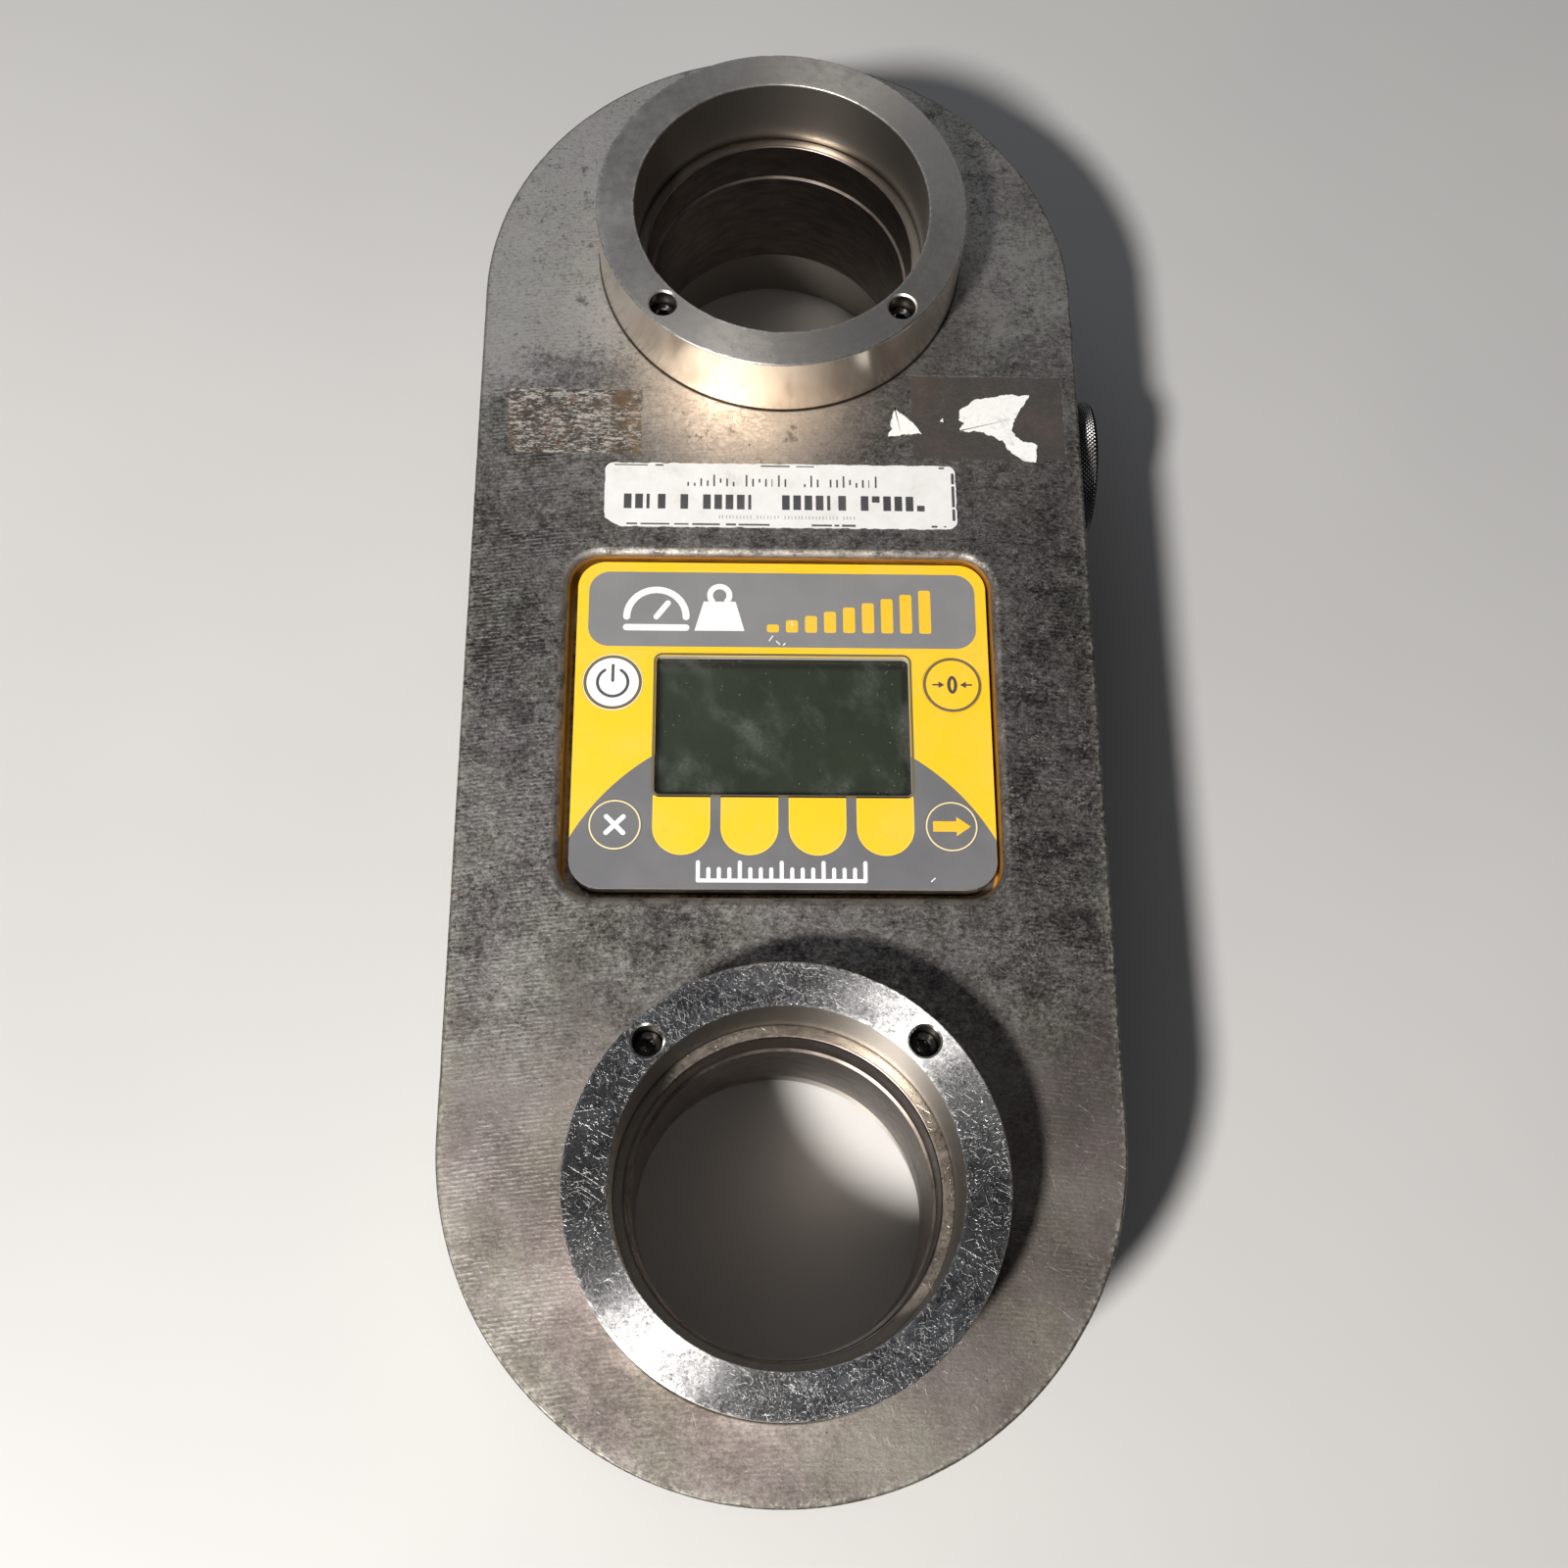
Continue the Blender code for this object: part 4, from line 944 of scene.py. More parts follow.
def rounded_rect(width, height, corner, x, y, steps=10):
    half_x, half_y = width / 2 - corner, height / 2 - corner
    outline = []
    for quarter, (sx, sy) in enumerate(((1, 1), (-1, 1), (-1, -1), (1, -1))):
        start = 90 * quarter
        outline += arc(x + sx * half_x, y + sy * half_y, corner, start, start + 90, steps)
    return outline


def capsule(x0, y0, x1, y1, width):
    """The outline of a straight stroke with round ends."""
    half = width / 2
    turn = math.degrees(math.atan2(y1 - y0, x1 - x0))
    far_end = arc(x1, y1, half, turn - 90, turn + 90, 8)
    return far_end + arc(x0, y0, half, turn + 90, turn + 270, 8)


def ellipse(x, y, half_width, half_height):
    return [(x + half_width * u, y + half_height * v) for u, v in circle(1.0, 40)]


def divided(start, end, count):
    """count evenly spaced points from start towards end, which is left out."""
    (x0, y0), (x1, y1) = start, end
    return [(x0 + (x1 - x0) * k / count, y0 + (y1 - y0) * k / count) for k in range(count)]


def arc_stroke(x, y, radius, start, end, width):
    """The outline of a round stroke along an arc, with round ends."""
    half = width / 2
    outline = arc(x, y, radius + half, start, end, 40)
    tip_x, tip_y = arc(x, y, radius, end, end, 1)[0]
    outline += arc(tip_x, tip_y, half, end, end + 180, 6)[1:-1]
    outline += arc(x, y, radius - half, end, start, 40)
    tip_x, tip_y = arc(x, y, radius, start, start, 1)[0]
    return outline + arc(tip_x, tip_y, half, start + 180, start + 360, 6)[1:-1]


def soft_key_outline(node, grow=0.0):
    """Straight sides and a half-round bottom, from the key's own box."""
    low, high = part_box(node)
    x = (low.x + high.x) / 2
    half = (high.x - low.x) / 2 + grow
    top = high.y + grow
    return [(x + half, top), (x - half, top)] + arc(x, low.y + half - grow, half, 180, 360, 32)


def at_height(outline, z):
    return [(x, y, z) for x, y in outline]


def loft(sections, bm=None, ring=False):
    """A closed skin through sections of equal point counts. The ends are filled, or joined to
    each other where ring is set."""
    bm = bm or bmesh.new()
    rows = [[bm.verts.new(point) for point in section] for section in sections]
    pairs = list(zip(rows, rows[1:]))
    if ring:
        pairs.append((rows[-1], rows[0]))
    faces = []
    for low, high in pairs:
        for i in range(len(low)):
            j = (i + 1) % len(low)
            faces.append(bm.faces.new((low[i], low[j], high[j], high[i])))
    if not ring:
        faces.append(bm.faces.new(rows[0]))
        faces.append(bm.faces.new(rows[-1]))
    bmesh.ops.recalc_face_normals(bm, faces=faces)
    return bm


def prism(outline, bottom, top, bm=None):
    return loft([at_height(outline, bottom), at_height(outline, top)], bm)


def turned(profile, steps, x=0.0, y=0.0):
    """A solid of revolution about the vertical through (x, y). A profile of (radius, z) points
    that starts and ends on the axis is capped there, and any other is a closed outline."""
    rings = [(max(radius, TURNED_ON_AXIS), z) for radius, z in profile]
    sections = [at_height(circle(radius, steps, x, y), z) for radius, z in rings]
    return loft(sections, ring=profile[0][0] > 0)


def along_tube(bm):
    """Turns a shape made about Z so that it lies along the battery tube, its +Z towards +X."""
    bmesh.ops.rotate(bm, verts=bm.verts, matrix=Matrix.Rotation(math.radians(90), 3, "Y"))
    bmesh.ops.translate(bm, verts=bm.verts, vec=(0, TUBE_Y, MID))
    return bm


def show(name, bm, material, body="link", node=None):
    """Makes a piece of the bmesh: shaded, riding on its body, and standing for its CAD node."""
    mesh = bpy.data.meshes.new(name)
    bm.to_mesh(mesh)
    bm.free()
    mesh.shade_smooth()
    mesh.set_sharp_from_angle(angle=SHARP_ANGLE)
    mesh.materials.append(material)
    obj = bpy.data.objects.new(name, mesh)
    bpy.context.scene.collection.objects.link(obj)
    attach(obj, body)
    if node:
        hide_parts(node)
    return obj


def carve(obj, tools, operation="DIFFERENCE"):
    """Cuts the closed bmeshes out of obj and keeps the result as its own mesh."""
    group = bpy.data.collections.new("tools")
    bpy.context.scene.collection.children.link(group)
    for bm in tools:
        mesh = bpy.data.meshes.new("tool")
        bm.to_mesh(mesh)
        bm.free()
        group.objects.link(bpy.data.objects.new("tool", mesh))
    boolean = obj.modifiers.new("carve", "BOOLEAN")
    boolean.operation = operation
    boolean.operand_type = "COLLECTION"
    boolean.collection = group
    boolean.solver = "EXACT"
    graph = bpy.context.evaluated_depsgraph_get()
    obj.data = bpy.data.meshes.new_from_object(obj.evaluated_get(graph))
    obj.modifiers.clear()
    for tool in list(group.objects):
        bpy.data.objects.remove(tool)
    bpy.data.collections.remove(group)
    obj.data.set_sharp_from_angle(angle=SHARP_ANGLE)


def soften(obj, width):
    """Rounds the sharp edges a little and keeps the flat faces flat in shading."""
    bevel = obj.modifiers.new("edges", "BEVEL")
    bevel.width = width
    bevel.segments = 2
    bevel.limit_method = "ANGLE"
    bevel.angle_limit = math.radians(50)
    flat_shading(obj)


def flat_shading(obj):
    weighted = obj.modifiers.new("flat_faces", "WEIGHTED_NORMAL")
    weighted.keep_sharp = True


# ---- steel pieces --------------------------------------------------------------------------------


def knocks(length, count, deepest, widest, seed):
    """A function that says how much is knocked off an edge at a place along its length."""
    draw = random.Random(seed)
    spots = []
    for _ in range(count):
        depth = deepest * draw.uniform(0.15, 1.0) ** 2
        spots.append((draw.uniform(0, length), depth, widest * draw.uniform(0.3, 1.0)))

    def lost(place):
        grain = 0.5 + 0.5 * noise.noise(Vector((place / (1.3 * MM), seed, 0.0)))
        total = 0.03 * MM * grain
        for spot, depth, width in spots:
            apart = abs((place - spot + length / 2) % length - length / 2)
            total = max(total, depth * math.exp(-((apart / width) ** 2)))
        return total

    return lost


def fillet(radius, steps=3):
    """(distance in from the side, distance down from the face) from the side up to the face."""
    angles = [math.radians(90 * i / steps) for i in range(steps + 1)]
    return [(radius * (1 - math.cos(a)), radius * (1 - math.sin(a))) for a in angles]


def link_outline():
    """(x, y, outward x, outward y) round the link, evenly enough spaced to carry small knocks."""
    steps = 110
    points = []
    for end in (1, -1):
        start = 0 if end > 0 else 180
        for i in range(steps + 1):
            angle = math.radians(start + 180 * i / steps)
            nx, ny = math.cos(angle), math.sin(angle)
            points.append((SIDE * nx, end * END_CENTRES / 2 + SIDE * ny, nx, ny))
        for i in range(1, steps):
            y = end * END_CENTRES / 2 * (1 - 2 * i / steps)
            points.append((-end * SIDE, y, -end, 0.0))
    return points


def link_blank():
    """The link without its holes, its edges rounded and knocked."""
    outline = link_outline()
    length = 2 * math.pi * SIDE + 2 * END_CENTRES
    spacing = length / len(outline)
    edges = []
    for z, up, seed in ((BACK, -1, 5), (FRONT, 1, 11)):
        lost = knocks(length, 80, 0.55 * MM, 2.6 * MM, seed)
        radii = [LINK_FILLET + lost(i * spacing) for i in range(len(outline))]
        rows = []
        for step in range(4):
            row = []
            for (x, y, nx, ny), radius in zip(outline, radii):
                inset, down = fillet(radius)[step]
                row.append((LINK_X + x - nx * inset, y - ny * inset, z - up * down))
            rows.append(row)
        edges.append(rows)
    return loft(edges[0][::-1] + edges[1])


def pin_bore(y):
    """The stepped pin hole: rounded mouths, and a narrower land half way."""
    mouth, step, land = 0.6 * MM, 0.4 * MM, PIN_LAND_LENGTH / 2
    half = [(PIN_LAND_R, land - step), (PIN_BORE_R, land)]
    half += [(PIN_BORE_R + inset, FRONT - MID - down) for inset, down in fillet(mouth)]
    half.append((PIN_BORE_R + mouth, FRONT - MID + CUT_PAST))
    upper = [(radius, MID + z) for radius, z in half]
    lower = [(radius, MID - z) for radius, z in reversed(half)]
    profile = [(0, lower[0][1])] + lower + upper + [(0, upper[-1][1])]
    return turned(profile, 160, LINK_X, y)


def pocket():
    """The panel pocket with its rounded rim, down to its ledge."""
    sections = []

    def add(offset, z):
        width, height = POCKET_WIDTH + 2 * offset, POCKET_HEIGHT + 2 * offset
        outline = rounded_rect(width, height, POCKET_CORNER + offset, POCKET_X, POCKET_Y, 14)
        sections.append(at_height(outline, z))

    add(0, FRONT - LEDGE_DEPTH)
    for inset, down in fillet(POCKET_RIM, 8):
        add(inset, FRONT - down)
    add(POCKET_RIM, FRONT + CUT_PAST)
    return loft(sections)


def thread_profile(x, angle, start, end):
    """How deep the thread is cut at x and angle, from 0 at its crest to 1, fading at its ends."""
    phase = (x / THREAD_PITCH - angle / (2 * math.pi)) % 1.0
    groove = min(1.0, max(0.0, 1.6 - 3.2 * abs(phase - 0.5)))
    fade = min(1.0, (x - start) / THREAD_PITCH, (end - x) / THREAD_PITCH)
    return groove * max(0.0, fade)


def rows_between(start, end, count, steps, radius_at):
    """Rows of points round the axis from start to end, as far from it as radius_at(x, angle)."""
    rows = []
    for i in range(count + 1):
        x = start + (end - start) * i / count
        row = []
        for k in range(steps):
            angle = 2 * math.pi * k / steps
            radius = radius_at(x, angle)
            row.append((radius * math.cos(angle), radius * math.sin(angle), x))
        rows.append(row)
    return rows


def threaded(start, end, crest_r, clearance=0.0, steps=96):
    """Rows of a thread between start and end."""

    def radius_at(x, angle):
        return crest_r - THREAD_DEPTH * thread_profile(x, angle, start, end) + clearance

    count = round((end - start) / THREAD_PITCH * THREAD_ROWS)
    return rows_between(start, end, count, steps, radius_at)


def plain_rows(*points, steps=96):
    """A round row for each (radius, x)."""
    return [at_height(circle(radius, steps), x) for radius, x in points]


def battery_bore():
    """The tube for the cells, its threaded mouth and the seat for the cap's seal."""
    thread_start = SIDE_FACE - 12 * MM - 2 * GAP
    seat = SIDE_FACE - SEAT_DEPTH
    outside = SIDE_FACE + CUT_PAST
    rows = plain_rows((ON_AXIS, TUBE_END), (TUBE_R, TUBE_END), (TUBE_R, thread_start))
    rows += threaded(thread_start + 0.2 * MM, seat - 0.2 * MM, NECK_R, THREAD_CLEARANCE)
    rows += plain_rows(
        (NECK_R + THREAD_CLEARANCE, seat),
        (SEAT_R, seat),
        (SEAT_R, SIDE_FACE - 0.3 * MM),
        (SEAT_R + 0.3 * MM, SIDE_FACE),
        (SEAT_R + 0.3 * MM, outside),
        (ON_AXIS, outside),
    )
    return along_tube(loft(rows))


def hole(node, radius, bottom, top):
    centre = middle(node)
    return turned([(0, bottom), (radius, bottom), (radius, top), (0, top)], 32, centre.x, centre.y)


def lead_drilling():
    """The way for the battery's lead, from the tube to the cavity under the panel."""
    place = middle("battery_lead")
    length = TUBE_Y - POCKET_Y - CAVITY_HEIGHT / 2
    bm = turned([(0, 0), (LEAD_HOLE_R, 0), (LEAD_HOLE_R, length), (0, length)], 32)
    bmesh.ops.rotate(bm, verts=bm.verts, matrix=Matrix.Rotation(math.radians(90), 3, "X"))
    bmesh.ops.translate(bm, verts=bm.verts, vec=(place.x, TUBE_Y, place.z))
    return bm


def make_link(material):
    link = show("link_body_worn", link_blank(), material, node="link_body")
    cavity = rounded_rect(CAVITY_WIDTH, CAVITY_HEIGHT, CAVITY_CORNER, POCKET_X, POCKET_Y)
    over_ledge = FRONT - LEDGE_DEPTH + CUT_PAST
    tools = [pin_bore(UPPER_Y), pin_bore(LOWER_Y), pocket(), battery_bore()]
    tools.append(prism(cavity, FRONT - CAVITY_DEPTH, over_ledge))
    for ring in RINGS:
        for screw in screws_in(ring):
            low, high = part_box(screw)
            if ring.startswith("front"):
                tools.append(hole(screw, SHANK_R + GAP, low.z - HOLE_SPARE, FRONT + CUT_PAST))
            else:
                tools.append(hole(screw, SHANK_R + GAP, BACK - CUT_PAST, high.z + HOLE_SPARE))
    for number in range(1, 5):
        screw = f"panel_screw_{number}"
        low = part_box(screw)[0]
        tools.append(hole(screw, PANEL_SCREW_HOLE_R, low.z - HOLE_SPARE, over_ledge))
    tools.append(lead_drilling())
    carve(link, tools)
    flat_shading(link)


def ring_counterbore(screw, face, foot, up):
    """The hole for a ring's screw: a chamfered lip, the sunk head and the shank."""
    place = middle(screw)
    shoulder = face - up * COUNTERBORE_DEPTH
    profile = [
        (0, face + up * CUT_PAST),
        (COUNTERBORE_R + LIP, face + up * CUT_PAST),
        (COUNTERBORE_R + LIP, face),
        (COUNTERBORE_R, face - up * LIP),
        (COUNTERBORE_R, shoulder),
        (SHANK_R + GAP, shoulder),
        (SHANK_R + GAP, foot - up * CUT_PAST),
        (0, foot - up * CUT_PAST),
    ]
    return turned(profile, 48, place.x, place.y)


def make_ring(node, material, seed):
    """A spacer ring with knocked edges and the counterbores for its two screws."""
    low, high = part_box(node)
    centre = (low + high) / 2
    front = centre.z > MID
    face, foot, up = (high.z, low.z, 1) if front else (low.z, high.z, -1)
    steps = 288
    outer_lost = knocks(2 * math.pi * RING_OUTER_R, 46, 0.45 * MM, 1.3 * MM, seed)
    inner_lost = knocks(2 * math.pi * RING_INNER_R, 40, 0.3 * MM, 1.3 * MM, seed + 1)
    columns = []
    for i in range(steps):
        angle = 2 * math.pi * i / steps
        outer = fillet(RING_FILLET + outer_lost(angle * RING_OUTER_R))
        inner = fillet(0.7 * RING_FILLET + inner_lost(angle * RING_INNER_R))
        profile = [(RING_INNER_R, foot), (RING_OUTER_R - RING_FILLET, foot)]
        profile.append((RING_OUTER_R, foot + up * RING_FILLET))
        profile += [(RING_OUTER_R - inset, face - up * down) for inset, down in outer]
        profile += [(RING_INNER_R + inset, face - up * down) for inset, down in reversed(inner)]
        cos, sin = math.cos(angle), math.sin(angle)
        columns.append([(centre.x + r * cos, centre.y + r * sin, z) for r, z in profile])
    ring = show(node + "_worn", loft(columns, ring=True), material, node=node)
    carve(ring, [ring_counterbore(screw, face, foot, up) for screw in screws_in(node)])
    flat_shading(ring)


def hexagon(across_flats, count):
    """A hexagon with its sides divided, to skin against a circle of count points."""
    corners = circle(across_flats / math.sqrt(3), 6)
    outline = []
    for start, end in zip(corners, corners[1:] + corners[:1]):
        outline += divided(start, end, count // 6)
    return outline


def make_ring_screw(node, material):
    """A socket-head cap screw with a rounded head and a chamfered hexagon socket."""
    low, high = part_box(node)
    centre = (low + high) / 2
    front = centre.z > MID
    head_r, sides = (high.x - low.x) / 2, 48
    height = 4.2 * MM
    length = high.z - low.z - height
    rows = [(SHANK_R - 0.3 * MM, -length), (SHANK_R, -length + 0.5 * MM), (SHANK_R, 0), (head_r, 0)]
    rows += [(head_r - inset, height - down) for inset, down in fillet(0.35 * MM)]
    rows.append((1.95 * MM, height))
    sections = [at_height(circle(radius, sides), z) for radius, z in rows]
    for across_flats, depth in ((3.0 * MM, 0.3 * MM), (3.0 * MM, 2.3 * MM), (1.2 * MM, 2.7 * MM)):
        sections.append(at_height(hexagon(across_flats, sides), height - depth))
    bm = loft(sections)
    if not front:
        bmesh.ops.rotate(bm, verts=bm.verts, matrix=Matrix.Rotation(math.pi, 3, "X"))
    seat = high.z - height if front else low.z + height
    bmesh.ops.translate(bm, verts=bm.verts, vec=(centre.x, centre.y, seat))
    show(node + "_socket", bm, material, node=node)


# ---- battery cap ---------------------------------------------------------------------------------


def knurl_height(angle, x):
    """Diamond knurling: 0 in its grooves and 1 on its points."""
    turns = angle * KNURL_TEETH / (2 * math.pi)
    heights = []
    for lean in (1, -1):
        phase = (turns + lean * x / KNURL_PITCH) % 1.0
        heights.append(1 - abs(2 * phase - 1))
    return min(heights)


def knurled(start, end):
    """Rows of the cap's knurled rim between start and end."""

    def radius_at(x, angle):
        return CAP_R - KNURL_DEPTH * (1 - min(1.0, 1.5 * knurl_height(angle, x)))

    return rows_between(start, end, KNURL_ROWS, CAP_STEPS, radius_at)


def make_cap(material):
    """The knurled head, the threaded neck and the shallow turned recess in its face."""
    head_low, head_high = SIDE_FACE + GAP, CAP_HIGH.x
    edge = 0.7 * MM
    neck_low = CAP_LOW.x
    hollow = head_low + 2.2 * MM
    recess = head_high - 0.4 * MM
    relief_r = NECK_R - 0.3 * MM

    def plain(*points):
        return plain_rows(*points, steps=CAP_STEPS)

    rows = plain((ON_AXIS, hollow), (NECK_BORE_R, hollow), (NECK_BORE_R, neck_low))
    rows += plain((NECK_R - THREAD_DEPTH - 0.1 * MM, neck_low))
    rows += threaded(neck_low + 0.5 * MM, head_low - 3.4 * MM, NECK_R, steps=CAP_STEPS)
    rows += plain((relief_r, head_low - 3.0 * MM), (relief_r, head_low), (CAP_R - edge, head_low))
    rows += knurled(head_low + 0.6 * edge, head_high - edge)
    rows += plain((CAP_R - edge, head_high), (CAP_R - 3.2 * MM, head_high))
    rows += plain((CAP_R - 3.6 * MM, recess), (ON_AXIS, recess))
    cap = along_tube(loft(rows))
    show("battery_cap_knurled", cap, material, "battery_cap", "battery_cap")


def make_seal(material):
    """The round seal under the cap's head."""
    low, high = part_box("cap_seal")
    x = (low.x + high.x) / 2
    section_r = (high.x - low.x) / 2
    centre_r = (high.y - low.y) / 2 - section_r
    columns = []
    for i in range(96):
        angle = 2 * math.pi * i / 96
        cos, sin = math.cos(angle), math.sin(angle)
        section = circle(section_r * 0.98, 20)
        columns.append([((centre_r + u) * cos, (centre_r + u) * sin, x + v) for u, v in section])
    seal = along_tube(loft(columns, ring=True))
    show("cap_seal_ring", seal, material, "battery_cap", "cap_seal")


def make_spring(material):
    """The contact spring: a smooth coil, wound closer at its ends."""
    low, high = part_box("battery_spring")
    wire_r, turns = 0.6 * MM, 4
    coil_r = (high.y - low.y) / 2 - wire_r
    start, end = low.x + wire_r, high.x - wire_r
    count = turns * 48
    along = Vector((1, 0, 0))
    rows = []
    for i in range(count + 1):
        share = i / count
        angle = 2 * math.pi * turns * share
        x = start + (end - start) * (share * share * (3 - 2 * share) * 0.5 + share * 0.5)
        out = Vector((0, math.cos(angle), math.sin(angle)))
        centre = Vector((x, TUBE_Y, MID)) + coil_r * out
        rows.append([centre + u * out + v * along for u, v in circle(wire_r, 16)])
    show("battery_spring_coil", loft(rows), material, "battery_spring", "battery_spring")


# ---- keypad ---------------------------------------------------------------------------------------


def panel_outline(inset=0.0):
    width, height = PANEL_WIDTH - 2 * inset, PANEL_HEIGHT - 2 * inset
    return rounded_rect(width, height, PANEL_CORNER - inset, PANEL.x, PANEL.y, 16)


def display_outline(grow=0.0):
    width, height = DISPLAY_WIDTH + 2 * grow, DISPLAY_HEIGHT + 2 * grow
    return rounded_rect(width, height, DISPLAY_CORNER + grow, DISPLAY.x, DISPLAY.y)


def key_outline(node, grow=0.0):
    if node in SOFT_KEYS:
        return soft_key_outline(node, grow)
    low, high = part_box(node)
    return circle((high.x - low.x) / 2 + grow, 72, (low.x + high.x) / 2, (low.y + high.y) / 2)


def key_holes(bottom, top):
    """Shapes that cut the holes for all the keys."""
    grow = GAP - KEY_CLEARANCE
    return [prism(key_outline(node, grow), bottom, top) for node in ROUND_KEYS + SOFT_KEYS]


def ink(name, outlines, material, body="link", level=PANEL_TOP):
    """Printed shapes on a film, each a thin prism, as one piece."""
    bm = bmesh.new()
    for number, outline in enumerate(outlines):
        lift = number * 0.001 * MM  # so that no two shapes that cross share a face
        prism(outline, level + INK_GAP, level + INK + lift, bm)
    return show(name, bm, material, body)


def band(outer, inner):
    """A thin closed band on the panel between two outlines of equal point counts."""
    low, high = PANEL_TOP + INK_GAP, PANEL_TOP + INK
    corners = ((outer, low), (outer, high), (inner, high), (inner, low))
    return loft([at_height(outline, z) for outline, z in corners], ring=True)


def make_overlay(films):
    """The overlay film, cut for the display and the keys, and its large printed fields."""
    bottom, top = PANEL_TOP - FILM_THICK, PANEL_TOP
    film = prism(panel_outline(), bottom, top)
    overlay = show("keypad_film", film, films["overlay"], node="keypad_overlay")
    ends = (bottom - CUT_PAST, top + CUT_PAST)
    carve(overlay, [prism(display_outline(), *ends)] + key_holes(*ends))
    soften(overlay, 0.07 * MM)

    header = rounded_rect(99.6 * MM, 21.0 * MM, 5.5 * MM, PANEL.x, HEADER_Y, 16)
    # the header's grey print is a lighter painted-light copy of the lower grey
    ink("header_print", [header], films["header_grey_painted_lighter"])

    lower = prism(panel_outline(0.12 * MM), top + INK_GAP, top + INK)
    zone = show("lower_print", lower, films["grey"])
    disc = circle(ZONE_R, 360, ZONE_X, ZONE_Y)
    carve(zone, [prism(disc, *ends)], "INTERSECT")
    carve(zone, [prism(display_outline(DISPLAY_BORDER), *ends)] + key_holes(*ends))

    edge_line = band(display_outline(DISPLAY_BORDER), display_outline(0.1 * MM))
    show("display_border", edge_line, films["olive"])


def make_header_icons(films):
    """Plain weighing pictures in the header: a dial, a weight and a rising bar graph."""
    y = HEADER_Y
    x = PANEL.x - 32.4 * MM
    shapes = [arc_stroke(x, y - 2.2 * MM, 7.6 * MM, 0, 180, 1.8 * MM)]
    shapes.append(capsule(x - 7.6 * MM, y - 5.2 * MM, x + 7.6 * MM, y - 5.2 * MM, 1.8 * MM))
    shapes.append(capsule(x, y - 2.2 * MM, x + 2.9 * MM, y + 1.7 * MM, 1.5 * MM))
    x = PANEL.x - 16.2 * MM
    weight = [(x + 4.1 * MM, y + 2.2 * MM), (x - 4.1 * MM, y + 2.2 * MM)]
    weight += [(x - 6.4 * MM, y - 6.0 * MM), (x + 6.4 * MM, y - 6.0 * MM)]
    shapes.append(weight)
    shapes.append(arc_stroke(x, y + 4.0 * MM, 2.5 * MM, -40, 220, 1.5 * MM))
    ink("header_icons", shapes, films["white"], level=PRINT_TOP)

    bars = []
    for number in range(9):
        x = PANEL.x - 2.5 * MM + number * 4.9 * MM
        height = (2.2 + 1.25 * number) * MM
        bars.append(rounded_rect(3.1 * MM, height, 0.6 * MM, x, y - 6.3 * MM + height / 2, 4))
    ink("header_bars", bars, films["yellow_ink"], level=PRINT_TOP)


def make_nicks(films):
    """Short white nicks where the print is scratched through."""
    draw = random.Random(8)
    nicks = []
    for x, y, length in NICKS:
        turn = draw.uniform(0.6, 2.4)
        dx, dy = length * math.cos(turn) * MM / 2, length * math.sin(turn) * MM / 2
        x, y = PANEL.x + x * MM, PANEL.y + y * MM
        nicks.append(capsule(x - dx, y - dy, x + dx, y + dy, 0.28 * MM))
    ink("film_nicks", nicks, films["white"], level=PRINT_TOP)


def make_lower_rule(films):
    """A plain graduated rule at the panel's foot."""
    y = PANEL.y - 42.0 * MM
    left, length, width = PANEL.x - 21 * MM, 41 * MM, 1.0 * MM
    rule = [capsule(left, y, left + length, y, width)]
    for number in range(17):
        x = left + length * number / 16
        tall = 4.6 * MM if number % 4 == 0 else 2.9 * MM
        rule.append(capsule(x, y, x, y + tall, width))
    ink("lower_rule", rule, films["white"], level=PRINT_TOP)


def make_keys(films):
    """Key caps flush with the film, each with its rim or line, all moving with the key."""
    grow = GAP - 2 * KEY_CLEARANCE
    base = {"power_key": "white", "zero_key": "yellow", "escape_key": "grey", "next_key": "grey"}
    for node in ROUND_KEYS + SOFT_KEYS:
        tone = base.get(node, "yellow")
        cap = prism(key_outline(node, grow), PANEL_TOP - FILM_THICK, PANEL_TOP)
        soften(show(node + "_film", cap, films[tone], node, node), 0.04 * MM)

    for node, outer, width, tone in (
        ("power_key", 7.4, 0.8, "olive"),
        ("zero_key", 7.45, 0.75, "olive"),
        ("escape_key", 6.4, 0.35, "cream"),
        ("next_key", 6.4, 0.35, "cream"),
    ):
        x, y, _ = middle(node)
        rim = band(circle(outer * MM, 72, x, y), circle((outer - width) * MM, 72, x, y))
        show(node + "_rim", rim, films[tone], node)

    for node in SOFT_KEYS:
        line = band(key_outline(node, grow - 0.02 * MM), key_outline(node, grow - 0.3 * MM))
        show(node + "_line", line, films["pale_yellow"], node)


